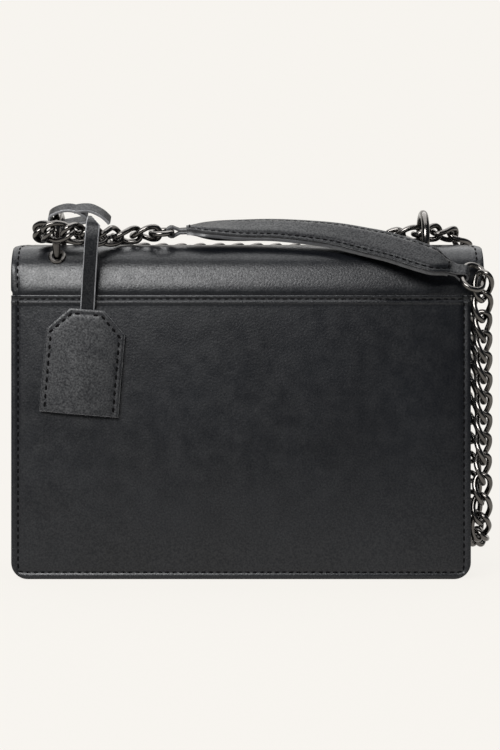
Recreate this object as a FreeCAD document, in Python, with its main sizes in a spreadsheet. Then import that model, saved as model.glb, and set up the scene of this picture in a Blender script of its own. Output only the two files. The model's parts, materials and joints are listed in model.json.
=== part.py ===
"""Chain shoulder bag: a structured flap bag with a curb chain, a padded handle and a hang tag.

Millimetres and degrees, +Z up. The origin is the middle of the base, on the surface the bag stands on.
The back of the bag, with its slip pocket, faces -Y, and +X is to the right of someone who looks at it.
"""
import FreeCAD
import Part
import math
import os
import re
import Sketcher

from FreeCAD import Matrix, Placement, Rotation, Vector

SIZES = {
    # Leather, lining and fits
    "leather": 1.8,
    "lining_thickness": 1.0,
    "running_clearance": 0.4,
    # Body
    "panel_width": 220.0,
    "bag_depth": 80.0,
    "bag_height": 161.5,
    "pocket_height": 135.8,
    "front_height": 130.0,
    "corner_radius": 8.0,
    "turned_edge": 8.0,
    "gusset_height": 125.0,
    "gusset_fold": 14.0,
    "gusset_lap": 6.0,
    # Top and flap
    "shoulder_radius": 16.0,
    "front_shoulder_radius": 14.0,
    "top_slope": 10.0,
    "hinge_setback": 50.0,
    "hinge_gap": 0.3,
    "yoke_tail": 12.0,
    "yoke_edge_gap": 1.2,
    "flap_width": 227.0,
    "flap_front_width": 206.0,
    "flap_shift": 3.1,
    "flap_narrowing_start": 14.0,
    "flap_narrowing_end": 21.0,
    "flap_hem_height": 45.0,
    "flap_corner_radius": 22.0,
    "flap_lining_inset": 3.0,
    "closure_gap": 3.2,
    # Inside
    "board_thickness": 2.4,
    "lining_inset": 5.6,
    "divider_height": 112.0,
    "divider_thickness": 1.8,
    "inner_pocket_width": 130.0,
    "inner_pocket_height": 70.0,
    "inner_pocket_base": 48.0,
    "inner_pocket_thickness": 1.2,
    # Magnetic snap
    "snap_height": 62.0,
    "snap_radius": 9.0,
    "snap_boss_radius": 4.0,
    "snap_play": 1.0,
    "snap_socket_thickness": 1.6,
    "snap_recess": 1.2,
    "snap_stud_thickness": 1.2,
    "snap_boss_height": 1.0,
    # Rings and eyelets
    "ring_spacing": 177.0,
    "ring_radius": 12.5,
    "ring_wire": 3.8,
    "ring_setback": 13.5,
    "ring_rise": 2.1,
    "eyelet_radius": 4.3,
    "eyelet_barrel": 0.5,
    "eyelet_flange": 0.9,
    # Chain
    "link_pitch": 9.7,
    "link_length": 16.6,
    "link_width": 10.8,
    "link_wire": 2.6,
    "link_twist": 56.0,
    "chain_side_gap": 5.8,
    "chain_floor_gap": 16.5,
    "chain_loop_offset": 14.0,
    "chain_turn_radius": 13.2,
    "chain_top_setback": 41.5,
    # Handle
    "handle_end_setback": 11.5,
    "handle_width": 17.0,
    "handle_skin": 1.4,
    "handle_core": 1.6,
    "handle_core_width": 13.0,
    "handle_neck": 4.0,
    "handle_tab_width": 6.4,
    "handle_ring_wire": 2.7,
    "handle_ring_bar": 7.0,
    "handle_ring_radius": 5.0,
    # Hang tag
    "tag_width": 37.5,
    "tag_height": 50.0,
    "tag_top_width": 16.3,
    "tag_shoulder": 10.8,
    "tag_thickness": 1.4,
    "tag_tilt": 4.8,
    "tag_strap_width": 7.2,
    "tag_strap_thickness": 1.6,
    "tag_top_height": 129.0,
    "tag_clearance": 0.5,
    "tag_loop_reach": 15.0,
    "tag_loop_lean": 35.0,
}

DOCUMENT = FreeCAD.newDocument("chain_shoulder_bag")
SHEET = DOCUMENT.addObject("Spreadsheet::Sheet", "Sizes")

X_AXIS = Vector(1, 0, 0)
Y_AXIS = Vector(0, 1, 0)
Z_AXIS = Vector(0, 0, 1)
ORIGIN = Vector(0, 0, 0)


# Sheet and expressions

def fill_sheet():
    """Write every driving dimension to the sheet, one row each."""
    for row, (alias, value) in enumerate(SIZES.items(), start=1):
        SHEET.set(f"A{row}", alias)
        SHEET.set(f"B{row}", str(value))
        SHEET.setAlias(f"B{row}", alias)
    DOCUMENT.recompute()


def bound(expression):
    """The expression with every size named as a cell of the sheet."""
    return re.sub(r"[a-z]\w*", lambda word: "Sizes." + word.group(0), expression)


def size(expression):
    """The value of an expression on the sheet."""
    return float(SHEET.evalExpression(bound(expression)))


# Places that several pieces share, as expressions on the sheet

BACK_FACE = "(-bag_depth / 2)"
YOKE_FACE = "(-bag_depth / 2 + leather)"
BACK_PANEL_INNER = "(-bag_depth / 2 + 3 * leather)"
FLAP_FACE = "(bag_depth / 2)"
FRONT_PANEL_OUTER = "(bag_depth / 2 - leather - lining_thickness - closure_gap)"
FRONT_PANEL_INNER = "(bag_depth / 2 - 2 * leather - lining_thickness - closure_gap)"
FOLD_LINE = f"(({BACK_PANEL_INNER} + {FRONT_PANEL_INNER}) / 2)"
GUSSET_FACE = "(panel_width / 2 - leather)"
BOARD_TOP = "(leather + board_thickness)"
BASE_END_TOP = "(corner_radius + gusset_lap)"
SHOULDER_START = "(bag_height - shoulder_radius)"


# General pieces

def sketch_body(label, corners, thickness, inner_face):
    """A flat upright piece: a closed outline in X and Z, padded towards -Y from its inner face."""
    body = DOCUMENT.addObject("PartDesign::Body", label)
    body.Label = label
    sketch = outline_sketch(body, label + "_outline", corners)
    pad = body.newObject("PartDesign::Pad", label + "_pad")
    pad.Profile = sketch
    pad.setExpression("Length", bound(thickness))
    body.Tip = pad
    body.setExpression("Placement.Base.y", bound(inner_face))
    DOCUMENT.recompute()
    return body


def outline_sketch(body, name, corners):
    """A closed outline of straight sides on the body's XZ plane, each corner bound to the sheet."""
    sketch = body.newObject("Sketcher::SketchObject", name)
    plane = [feature for feature in body.Origin.OriginFeatures if feature.Role == "XZ_Plane"][0]
    sketch.AttachmentSupport = [(plane, "")]
    sketch.MapMode = "FlatFace"
    points = [Vector(size(across), size(height), 0) for across, height in corners]
    count = len(points)
    for index in range(count):
        sketch.addGeometry(Part.LineSegment(points[index], points[(index + 1) % count]))
    for index in range(count):
        sketch.addConstraint(Sketcher.Constraint("Coincident", index, 2, (index + 1) % count, 1))
    for index, corner in enumerate(corners):
        for kind, expression in zip(("DistanceX", "DistanceY"), corner):
            rule = Sketcher.Constraint(kind, -1, 1, index, 1, size(expression))
            number = sketch.addConstraint(rule)
            sketch.setExpression(f"Constraints[{number}]", bound(expression))
    return sketch


def rectangle(half_width, low, high):
    """The corners of an upright rectangle, centred on X."""
    return [(f"-({half_width})", low), (half_width, low), (half_width, high), (f"-({half_width})", high)]


def round_corners(body, radius, places):
    """Round the body's edges along Y that stand at the given places in X and Z."""
    base = body.Tip
    names = []
    for number, edge in enumerate(base.Shape.Edges, start=1):
        middle = edge.CenterOfMass
        along_y = abs(edge.tangentAt(edge.FirstParameter).y) > 0.99
        near = any(abs(middle.x - size(x)) < 0.01 and abs(middle.z - size(z)) < 0.01 for x, z in places)
        if along_y and near:
            names.append(f"Edge{number}")
    fillet = body.newObject("PartDesign::Fillet", body.Label + "_round")
    fillet.Base = (base, names)
    fillet.setExpression("Radius", bound(radius))
    body.Tip = fillet
    DOCUMENT.recompute()


def block(label, lengths, corner):
    """A plain board or sheet: its three lengths and its lowest corner are expressions on the sheet."""
    box = DOCUMENT.addObject("Part::Box", label)
    box.Label = label
    for name, expression in zip(("Length", "Width", "Height"), lengths):
        box.setExpression(name, bound(expression))
    for name, expression in zip("xyz", corner):
        box.setExpression(f"Placement.Base.{name}", bound(expression))
    return box


def disc(label, radius, height, place):
    """A round plate whose axis is along +Y."""
    plate = DOCUMENT.addObject("Part::Cylinder", label)
    plate.Label = label
    plate.setExpression("Radius", bound(radius))
    plate.setExpression("Height", bound(height))
    plate.Placement.Rotation = Rotation(X_AXIS, -90)
    for name, expression in zip("xyz", place):
        plate.setExpression(f"Placement.Base.{name}", bound(expression))
    return plate


def combine(kind, label, base, tool):
    """A boolean of two objects, under one label."""
    result = DOCUMENT.addObject(kind, label)
    result.Label = label
    result.Base = base
    result.Tool = tool
    return result


def solid_feature(label, shape):
    """A piece whose shape is worked out by its own function."""
    feature = DOCUMENT.addObject("Part::Feature", label)
    feature.Label = label
    feature.Shape = shape
    return feature


def prism(points, travel):
    """A solid from a closed outline of straight sides, moved along a vector."""
    return Part.Face(Part.makePolygon(points + points[:1])).extrude(travel)


# Panels, base and gussets

def make_panels():
    """The back panel, the slip pocket on it, the front panel and the base."""
    half = "panel_width / 2"
    lower_corners = [(f"-{half}", "0"), (half, "0")]
    back = sketch_body("back_panel", rectangle(half, "0", SHOULDER_START), "leather", BACK_PANEL_INNER)
    round_corners(back, "corner_radius", lower_corners)
    front = sketch_body("front_panel", rectangle(half, "0", "front_height"), "leather", FRONT_PANEL_OUTER)
    round_corners(front, "corner_radius", lower_corners)

    pocket = sketch_body(
        "back_pocket_panel", rectangle(half, "0", "pocket_height"), "2 * leather", f"{BACK_FACE} + 2 * leather"
    )
    round_corners(pocket, "corner_radius", lower_corners)
    recess = pocket.newObject("PartDesign::Pocket", "back_pocket_space")
    recess.Profile = outline_sketch(
        pocket, "back_pocket_space_outline", rectangle(f"{half} - turned_edge", "turned_edge", "pocket_height")
    )
    recess.setExpression("Length", bound("leather"))
    recess.Reversed = True
    pocket.Tip = recess
    return [back, front, pocket, make_base()]


def make_base():
    """The base leather, turned up round the lower corners to lap the gussets."""
    outer = "panel_width / 2"
    inner = GUSSET_FACE
    corners = [
        (f"-{outer}", "0"), (outer, "0"), (outer, BASE_END_TOP), (inner, BASE_END_TOP),
        (inner, "leather"), (f"-{inner}", "leather"), (f"-{inner}", BASE_END_TOP), (f"-{outer}", BASE_END_TOP),
    ]
    depth = f"{FRONT_PANEL_INNER} - {BACK_PANEL_INNER}"
    base = sketch_body("base_panel", corners, depth, FRONT_PANEL_INNER)
    round_corners(base, "corner_radius", [(f"-{outer}", "0"), (outer, "0")])
    round_corners(base, "corner_radius - leather", [(f"-{inner}", "leather"), (inner, "leather")])
    return base


def gusset_outline(side, height, fold):
    """The folded outline of a gusset at one height, as a closed wire."""
    face = size(GUSSET_FACE)
    wall = size("leather")
    back, middle, front = size(BACK_PANEL_INNER), size(FOLD_LINE), size(FRONT_PANEL_INNER)
    outer = [(face, back), (face - fold, middle), (face, front)]
    inner = [(face - wall, front), (face - fold - wall, middle), (face - wall, back)]
    points = [Vector(side * across, depth, height) for across, depth in outer + inner]
    return Part.makePolygon(points + points[:1])


def make_gusset(label, side):
    """A side wall that folds inwards, more towards the top."""
    levels = [("corner_radius", 0.0), (BASE_END_TOP, 0.0), ("gusset_height", size("gusset_fold"))]
    outlines = [gusset_outline(side, size(height), fold) for height, fold in levels]
    return solid_feature(label, Part.makeLoft(outlines, True, True))


# Top yoke and flap

class Skin:
    """The curve of the top in Y and Z: up the back, over the shoulder, down a slope, over the front."""

    def __init__(self, depth):
        """Keep the key points at one depth below the outer face."""
        slope = math.radians(size("top_slope"))
        self.along = Vector(0, math.cos(slope), -math.sin(slope))
        self.normal = Vector(0, math.sin(slope), math.cos(slope))
        back_radius = size("shoulder_radius")
        front_radius = size("front_shoulder_radius")
        self.back_centre = Vector(0, size(YOKE_FACE) + back_radius, size(SHOULDER_START))
        crest = self.back_centre + self.normal * back_radius
        front_y = size(FLAP_FACE) - front_radius
        run = (front_y - (crest - self.normal * front_radius).y) / self.along.y
        front_centre = crest - self.normal * front_radius + self.along * run
        hinge_y = size(f"{BACK_FACE} + hinge_setback")
        outer_hinge = crest + self.along * ((hinge_y - crest.y) / self.along.y)
        self.crest = crest
        self.hinge = outer_hinge - self.normal * depth
        self.shoulder = self.arc_points(self.back_centre, back_radius - depth, math.pi, math.pi / 2 - slope)
        self.front = self.arc_points(front_centre, front_radius - depth, math.pi / 2 - slope, 0.0)

    @staticmethod
    def arc_points(centre, radius, first, last):
        """The start, middle and end of an arc about a centre."""
        angles = (first, (first + last) / 2, last)
        return [centre + Vector(0, math.cos(angle), math.sin(angle)) * radius for angle in angles]


def skin_face(outer_points, inner_points):
    """A face between an outer and an inner run of points, where three points in brackets are an arc."""
    edges = []
    last = None
    for item in outer_points + inner_points + outer_points[:1]:
        first = item[0] if isinstance(item, list) else item
        if last is not None and (first - last).Length > 1e-6:
            edges.append(Part.LineSegment(last, first).toShape())
        last = first
        if isinstance(item, list) and not (item is outer_points[0] and edges):
            edges.append(Part.Arc(*item).toShape())
            last = item[2]
    return Part.Face(Part.Wire(edges))


def flap_sides(front):
    """The left and right edge of the flap leather in X, at its wide back or its narrower front."""
    half = size("flap_front_width" if front else "flap_width") / 2
    shift = size("flap_shift")
    return shift - half, shift + half


def make_yoke():
    """The fixed back part of the flap leather, with its tail in the pocket and holes for the eyelets."""
    outer = Skin(0.0)
    inner = Skin(size("leather"))
    start = size("pocket_height + yoke_edge_gap")
    edge = outer.along * size("hinge_gap / 2")
    low_outer = Vector(0, outer.shoulder[0].y, start)
    low_inner = Vector(0, inner.shoulder[0].y, start)
    face = skin_face(
        [low_outer, outer.shoulder, outer.hinge - edge], [inner.hinge - edge, inner.shoulder[::-1], low_inner]
    )
    left, right = flap_sides(front=False)
    shape = face.extrude(X_AXIS * (right - left)).translated(X_AXIS * left)
    shape = shape.cut(narrowing_cut(-1)).cut(narrowing_cut(1))
    tail_half = size("panel_width / 2 - turned_edge - running_clearance")
    tail = Part.makeBox(
        2 * tail_half, size("leather"), size("yoke_tail + yoke_edge_gap"),
        Vector(-tail_half, low_outer.y, size("pocket_height - yoke_tail")),
    )
    shape = shape.fuse(tail).removeSplitter()
    hole = size("ring_wire / 2 + running_clearance + eyelet_barrel")
    for side in (-1, 1):
        for place, heading in ring_crossings(side):
            shape = shape.cut(Part.makeCylinder(hole, 4 * hole, place - heading * 2 * hole, heading))
    return solid_feature("top_yoke", shape)


def narrowing_cut(side):
    """What is cut from one end of the yoke, where it narrows in front of the back shoulder."""
    wide = flap_sides(front=False)[(side + 1) // 2]
    narrow = flap_sides(front=True)[(side + 1) // 2]
    start = size(f"{BACK_FACE} + flap_narrowing_start")
    end = size(f"{BACK_FACE} + flap_narrowing_end")
    beyond = wide + side * size("turned_edge")
    front = size(FLAP_FACE)
    outline = [(wide, start), (narrow, end), (narrow, front), (beyond, front), (beyond, start)]
    low = size(f"{SHOULDER_START} - shoulder_radius")
    points = [Vector(across, depth, low) for across, depth in outline]
    return prism(points, Z_AXIS * size("3 * shoulder_radius"))


def make_flap_layer(label, depth, thickness, start_inset, hem_inset):
    """One layer of the moving flap, from the bend line over the front to its hem."""
    outer = Skin(depth)
    inner = Skin(depth + thickness)
    edge = outer.along * (size("hinge_gap / 2") + start_inset)
    hem = size("flap_hem_height") + hem_inset
    face = skin_face(
        [outer.hinge + edge, outer.front, Vector(0, outer.front[2].y, hem)],
        [Vector(0, inner.front[2].y, hem), inner.front[::-1], inner.hinge + edge],
    )
    left, right = flap_sides(front=True)
    left += start_inset
    right -= start_inset
    shape = face.extrude(X_AXIS * (right - left)).translated(X_AXIS * left)
    corners = [
        corner for corner in shape.Edges
        if abs(corner.CenterOfMass.z - hem) < 0.01 and abs(corner.Vertexes[0].X - corner.Vertexes[-1].X) < 0.01
    ]
    return solid_feature(label, shape.makeFillet(size("flap_corner_radius") - hem_inset, corners))


# Rings and eyelets

def ring_centre(side):
    """The middle of one top ring."""
    return Vector(
        side * size("ring_spacing / 2"), size(f"{BACK_FACE} + ring_setback"), size("bag_height + ring_rise")
    )


def make_ring(label, side):
    """An upright ring, in a plane across the bag."""
    ring = DOCUMENT.addObject("Part::Torus", label)
    ring.Label = label
    ring.setExpression("Radius1", bound("ring_radius"))
    ring.setExpression("Radius2", bound("ring_wire / 2"))
    ring.Placement.Rotation = Rotation(Y_AXIS, 90)
    sign = "" if side > 0 else "-"
    ring.setExpression("Placement.Base.x", bound(f"{sign}ring_spacing / 2"))
    ring.setExpression("Placement.Base.y", bound(f"{BACK_FACE} + ring_setback"))
    ring.setExpression("Placement.Base.z", bound("bag_height + ring_rise"))
    return ring


def ring_crossings(side):
    """Where a ring passes through the leather: the points, and the outward normals there."""
    skin = Skin(0.0)
    centre = ring_centre(side)
    radius = size("ring_radius")
    shoulder = size("shoulder_radius")
    to_ring = Vector(0, centre.y - skin.back_centre.y, centre.z - skin.back_centre.z)
    reach = (shoulder ** 2 - radius ** 2 + to_ring.Length ** 2) / (2 * to_ring.Length)
    offset = math.sqrt(shoulder ** 2 - reach ** 2)
    heading = to_ring / to_ring.Length
    sideways = Vector(0, -heading.z, heading.y)
    back_heading = (heading * reach + sideways * offset) / shoulder
    back = skin.back_centre + back_heading * shoulder + X_AXIS * centre.x
    level = (centre - skin.crest).dot(skin.normal)
    foot = centre - skin.normal * level
    front = foot + skin.along * math.sqrt(radius ** 2 - level ** 2)
    return [(back, back_heading), (front, skin.normal)]


def make_eyelets(label, side):
    """The two eyelets that one ring runs through: a flange on the leather and a barrel in the hole."""
    inner = size("ring_wire / 2 + running_clearance")
    barrel = inner + size("eyelet_barrel") * 0.9
    outer = size("eyelet_radius")
    flange = size("eyelet_flange")
    depth = size("leather")
    profile = [
        (inner, -depth), (barrel, -depth), (barrel, 0.0), (outer, 0.0), (outer, flange / 3),
        (outer - flange / 2, flange), (inner + flange / 3, flange), (inner, flange * 2 / 3),
    ]
    points = [Vector(radius, 0, height) for radius, height in profile]
    eyelet = Part.Face(Part.makePolygon(points + points[:1])).revolve(ORIGIN, Z_AXIS, 360)
    copies = []
    for place, heading in ring_crossings(side):
        copies.append(eyelet.transformed(Placement(place, Rotation(Z_AXIS, heading)).toMatrix()))
    return solid_feature(label, Part.makeCompound(copies))


# Inside and closure

def make_inside():
    """The stiff base board, the linings, the divider between the gusset folds and the slip pocket."""
    half = "(panel_width / 2 - lining_inset)"
    flat = "(panel_width / 2 - corner_radius)"
    board = block(
        "base_board",
        (f"2 * {flat}", f"{FRONT_PANEL_INNER} - {BACK_PANEL_INNER} - 2 * lining_thickness", "board_thickness"),
        (f"-{flat}", f"{BACK_PANEL_INNER} + lining_thickness", "leather"),
    )
    low = "corner_radius"
    back = sketch_body(
        "back_lining", rectangle(half, low, SHOULDER_START), "lining_thickness",
        f"{BACK_PANEL_INNER} + lining_thickness",
    )
    front = sketch_body(
        "front_lining", rectangle(half, low, "front_height"), "lining_thickness", FRONT_PANEL_INNER
    )
    pocket = block(
        "inner_slip_pocket",
        ("inner_pocket_width", "inner_pocket_thickness", "inner_pocket_height"),
        ("-inner_pocket_width / 2", f"{BACK_PANEL_INNER} + lining_thickness", "inner_pocket_base"),
    )
    wide = f"({GUSSET_FACE} - leather - running_clearance)"
    share = f"((divider_height - {BASE_END_TOP}) / (gusset_height - {BASE_END_TOP}))"
    narrow = f"({wide} - gusset_fold * {share})"
    outline = [
        (f"-{wide}", BASE_END_TOP), (f"-{half}", BOARD_TOP), (half, BOARD_TOP), (wide, BASE_END_TOP),
        (narrow, "divider_height"), (f"-{narrow}", "divider_height"),
    ]
    divider = sketch_body(
        "divider_panel", outline, "divider_thickness", f"{FOLD_LINE} + divider_thickness / 2"
    )
    return [board, back, front, pocket, divider]


def make_snap():
    """A magnetic snap: a recessed socket on the front panel and a stud on the flap lining."""
    socket_plate = disc(
        "snap_socket_plate", "snap_radius", "snap_socket_thickness", ("0", FRONT_PANEL_OUTER, "snap_height")
    )
    recess = disc(
        "snap_socket_recess", "snap_boss_radius + snap_play", "snap_recess",
        ("0", f"{FRONT_PANEL_OUTER} + snap_socket_thickness - snap_recess", "snap_height"),
    )
    socket = combine("Part::Cut", "snap_socket", socket_plate, recess)
    lining_face = f"({FLAP_FACE} - leather - lining_thickness)"
    stud_plate = disc(
        "snap_stud_plate", "snap_radius", "snap_stud_thickness",
        ("0", f"{lining_face} - snap_stud_thickness", "snap_height"),
    )
    boss = disc(
        "snap_stud_boss", "snap_boss_radius", "snap_boss_height",
        ("0", f"{lining_face} - snap_stud_thickness - snap_boss_height", "snap_height"),
    )
    stud = combine("Part::Fuse", "snap_stud", stud_plate, boss)
    return [socket, stud]


# Round wire, bent along tangent arcs

def straight_rod(start, end, radius):
    """A straight length of round wire."""
    return Part.makeCylinder(radius, (end - start).Length, start, end - start)


def arc_rod(start, centre, axis, angle, radius):
    """A bent length of round wire, turned about an axis through a centre."""
    heading = axis.cross(start - centre)
    section = Part.Face(Part.Wire(Part.makeCircle(radius, start, heading)))
    return section.revolve(centre, axis, math.degrees(angle))


def bent_rod(start, heading, end, radius):
    """The arc of wire that leaves a start along a heading and reaches an end."""
    chord = end - start
    axis = heading.cross(chord).normalize()
    inward = axis.cross(heading)
    bend = chord.dot(chord) / (2 * chord.dot(inward))
    angle = 2 * math.atan2(chord.dot(inward), chord.dot(heading))
    return arc_rod(start, start + inward * bend, axis, angle, radius)


def biarc_rods(start, heading, end, end_heading, radius):
    """Two tangent arcs of wire from one point and heading to another."""
    chord = end - start
    both = chord.dot(heading + end_heading)
    spread = 2 * (1 - heading.dot(end_heading))
    reach = (math.sqrt(both ** 2 + spread * chord.dot(chord)) - both) / spread
    first = start + heading * reach
    second = end - end_heading * reach
    joint = (first + second) / 2
    turn = (second - first).normalize()
    return [bent_rod(start, heading, joint, radius), bent_rod(joint, turn, end, radius)]


def link_solid():
    """One curb link along X: an oval of wire, twisted end to end so that all links lie alike."""
    radius = size("link_wire / 2")
    reach = size("(link_length - link_wire) / 2")
    half = size("(link_width - link_wire) / 2")
    twist = math.radians(size("link_twist"))
    rise = half * twist
    marks = [
        (Vector(reach, 0, 0), Vector(0, math.cos(twist), -math.sin(twist))),
        (Vector(0, half, 0), Vector(-reach, 0, rise)),
        (Vector(-reach, 0, 0), Vector(0, -math.cos(twist), -math.sin(twist))),
        (Vector(0, -half, 0), Vector(reach, 0, rise)),
    ]
    rods = []
    for index, (start, heading) in enumerate(marks):
        end, end_heading = marks[(index + 1) % len(marks)]
        rods += biarc_rods(start, Vector(heading).normalize(), end, Vector(end_heading).normalize(), radius)
    return rods[0].multiFuse(rods[1:])


def placed(shape, place, along, across):
    """A copy of a shape with its X axis along one direction and its Y axis towards another."""
    first = Vector(along).normalize()
    second = (across - first * across.dot(first)).normalize()
    third = first.cross(second)
    matrix = Matrix(
        first.x, second.x, third.x, place.x,
        first.y, second.y, third.y, place.y,
        first.z, second.z, third.z, place.z,
        0, 0, 0, 1,
    )
    return shape.transformed(matrix)


# Smooth lines through chosen points

PATH_STEPS = 24


def smooth_line(points):
    """Points on a smooth line through the given points."""
    line = []
    last = len(points) - 1
    for index in range(last):
        before = points[max(index - 1, 0)]
        start = points[index]
        end = points[index + 1]
        after = points[min(index + 2, last)]
        for step in range(PATH_STEPS):
            share = step / PATH_STEPS
            line.append(
                (
                    start * 2
                    + (end - before) * share
                    + (before * 2 - start * 5 + end * 4 - after) * share ** 2
                    + (start * 3 - before - end * 3 + after) * share ** 3
                ) / 2
            )
    return line + [points[last]]


def chain_of_links(route):
    """Links at one pitch along a route of places and the directions across the links there."""
    line = smooth_line([place for place, across in route])
    across_line = smooth_line([across for place, across in route])
    travelled = [0.0]
    for start, end in zip(line, line[1:]):
        travelled.append(travelled[-1] + (end - start).Length)
    count = round(travelled[-1] / size("link_pitch"))
    step = travelled[-1] / count
    link = link_solid()
    links = []
    for number in range(count):
        start = at_distance(line, travelled, number * step)
        end = at_distance(line, travelled, (number + 1) * step)
        across = at_distance(across_line, travelled, (number + 0.5) * step)
        links.append(placed(link, (start + end) / 2, end - start, across))
    return Part.makeCompound(links)


def at_distance(line, travelled, distance):
    """The value on a line at one distance along it."""
    for index in range(1, len(line)):
        if travelled[index] >= distance or index == len(line) - 1:
            span = travelled[index] - travelled[index - 1]
            share = (distance - travelled[index - 1]) / span
            return line[index - 1] + (line[index] - line[index - 1]) * share


# Chain

LEFT_RING_PASS = Vector(0, 3.0, 3.9)
TURN_SHIFT = 4.6
TURN_FALL = 2.6
TURN_END = 290
RIGHT_RING_PASS = Vector(0, 4.4, 3.4)


def link_hook():
    """How far the wire inside a link's end lies from the point where two links meet."""
    return size("(link_length - link_wire - link_pitch) / 2")


def loop_axis_place():
    """A point on the line that the side loop of chain swings about."""
    bar = handle_ring_bars(HANDLE_RIGHT)[1]
    return bar + Z_AXIS * link_hook()


def make_side_loop():
    """The loop of chain that hangs at the right side, from the handle down and up again."""
    top = loop_axis_place()
    side = size("panel_width / 2 + chain_side_gap")
    low = size("chain_floor_gap")
    back = size(BACK_FACE)
    far = chain_far_top()
    route = [
        (top, Vector(1, 0.1, 0)),
        (Vector(top.x + 0.2, back - 3.6, top.z - 14), Vector(0.95, 0.3, 0)),
        (Vector((top.x + side) / 2 + 0.6, back - 0.8, top.z - 30), Vector(0.68, 0.73, 0)),
        (Vector(side + 0.4, back + 1.6, low + 62), Vector(0.68, 0.73, 0)),
        (Vector(side + 0.2, back + 2.6, low + 36), Vector(0.68, 0.73, 0)),
    ]
    turn = (far.y - back - 5.6) / 2
    for angle in range(180, 361, 45):
        reach = math.radians(angle)
        place = Vector(side, far.y - turn + turn * math.cos(reach), low + turn + turn * math.sin(reach))
        route.append((place, X_AXIS))
    route += [
        (Vector(side - 0.4, far.y + 1.4, low + 36), Vector(0.9, -0.45, 0)),
        (Vector(side - 0.8, far.y + 1.0, low + 66), Vector(0.6, -0.8, 0)),
        (Vector(far.x + 0.4, far.y, far.z - 30), Vector(0.25, -1, 0)),
        (far, Vector(0.25, -1, 0)),
    ]
    return solid_feature("chain_side_loop", chain_of_links(route))


def chain_far_top():
    """Where the far leg of the side loop meets the chain that comes over the top."""
    top = loop_axis_place()
    return Vector(top.x, size(f"{BACK_FACE} + flap_narrowing_end + chain_loop_offset"), top.z)


def link_rise():
    """Half of the height of a link that lies flat."""
    return link_solid().optimalBoundingBox(True, False).ZMax


def lying_place(across, depth):
    """The middle of a link that lies flat on the top, at a place in X and a distance from the back in Y."""
    skin = Skin(0.0)
    foot = skin.crest + skin.along * ((size(BACK_FACE) + depth - skin.crest.y) / skin.along.y)
    return foot + X_AXIS * across + skin.normal * (link_rise() + size("running_clearance"))


def make_top_chain():
    """The chain over the right end, through the right ring and along the top to the left ring."""
    far = chain_far_top()
    edge = flap_sides(front=True)[1]
    height = size("bag_height")
    right = ring_centre(1)
    left = ring_centre(-1)
    depth = size("chain_top_setback")
    flat = Skin(0.0).along * -1
    route = [
        (far, Vector(0.25, -1, 0)),
        (Vector(edge + 6.6, far.y - 3, height - 7), Vector(0.2, -1, 0)),
        (Vector(edge + 3.6, far.y - 8, height + 2.6), Vector(0.1, -1, 0.1)),
        (Vector((right.x + edge) / 2 + 3.8, far.y - 11.6, height + 6.6), Vector(0, -0.96, 0.28)),
        (right + RIGHT_RING_PASS, Vector(0, -0.8, 0.6)),
        (right + Vector(-13, 9.6, 2.8), Vector(0, -0.9, 0.4)),
        (right + Vector(-25, 20.0, 0.0), flat),
        (lying_place(right.x - 40, depth), flat),
        (lying_place(0, depth), flat),
        (lying_place(left.x + 44, depth), flat),
        (left + Vector(29, 24.0, -0.6), flat),
        (left + Vector(18, 13.6, 1.4), Vector(0.3, -0.9, 0.5)),
        (left + Vector(9, 8.0, 3.7), Vector(0.3, -0.6, 0.8)),
        (left + LEFT_RING_PASS, Z_AXIS),
    ]
    return solid_feature("chain_top_run", chain_of_links(route))


def make_left_turn():
    """The chain that turns round the left ring and comes back to the handle's left end."""
    left = ring_centre(-1)
    end = handle_ring_bars(HANDLE_LEFT)[1] + X_AXIS * link_hook()
    turn = size("chain_turn_radius")
    first = math.degrees(math.acos(-TURN_SHIFT / turn))
    route = []
    for number in range(7):
        angle = math.radians(first + (TURN_END - first) * number / 6)
        offset = Vector(turn * math.cos(angle) + TURN_SHIFT, turn * math.sin(angle), -TURN_FALL * number / 6)
        offset.y -= turn * math.sin(math.radians(first))
        route.append((left + LEFT_RING_PASS + offset, Z_AXIS))
    last = route[-1][0]
    back_way = [
        (0.24, Vector(0, 3.4, -1.4), Vector(0, -0.2, 1)), (0.46, Vector(0, 7.4, -0.8), Vector(0, -0.6, 0.8)),
        (0.72, Vector(0, 7.4, -0.4), Vector(0, -0.9, 0.4)), (1.0, ORIGIN, Vector(0, -0.85, 0.5)),
    ]
    for share, shift, across in back_way:
        route.append((last + (end - last) * share + shift, across))
    return solid_feature("chain_left_turn", chain_of_links(route))


# Handle

HANDLE_LEFT = 0
HANDLE_RIGHT = 1


def handle_route():
    """The places of the handle's middle line, and its direction across, from left to right."""
    height = size("bag_height")
    back = size(BACK_FACE)
    left = size("-ring_spacing / 2")
    spacing = size("ring_spacing")
    end = size("panel_width / 2 - handle_end_setback")
    stations = [
        (left + spacing * 0.350, back + 12.4, height + 6.4, 12),
        (left + spacing * 0.418, back + 13.0, height + 7.1, 24),
        (left + spacing * 0.503, back + 13.5, height + 6.9, 33),
        (left + spacing * 0.605, back + 12.5, height + 6.7, 36),
        (left + spacing * 0.740, back + 9.0, height + 4.2, 42),
        (left + spacing * 0.831, back + 4.0, height + 0.6, 46),
        (left + spacing * 0.910, back - 2.4, height - 3.4, 47),
        (end - 10, back - 9.2, height - 9.4, 48),
        (end, back - 9.0, height - 13.2, 48),
    ]
    places = smooth_line([Vector(x, y, z) for x, y, z, tilt in stations])
    tilts = smooth_line([Vector(tilt, 0, 0) for x, y, z, tilt in stations])
    acrosses = [Vector(0, math.cos(math.radians(t.x)), math.sin(math.radians(t.x))) for t in tilts]
    return places, acrosses


def handle_frame(places, acrosses, index):
    """The place, heading, direction across and normal of the handle at one point of its line."""
    before = places[max(index - 1, 0)]
    after = places[min(index + 1, len(places) - 1)]
    heading = (after - before).normalize()
    across = acrosses[index]
    across = (across - heading * across.dot(heading)).normalize()
    return places[index], heading, across, heading.cross(across)


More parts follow.
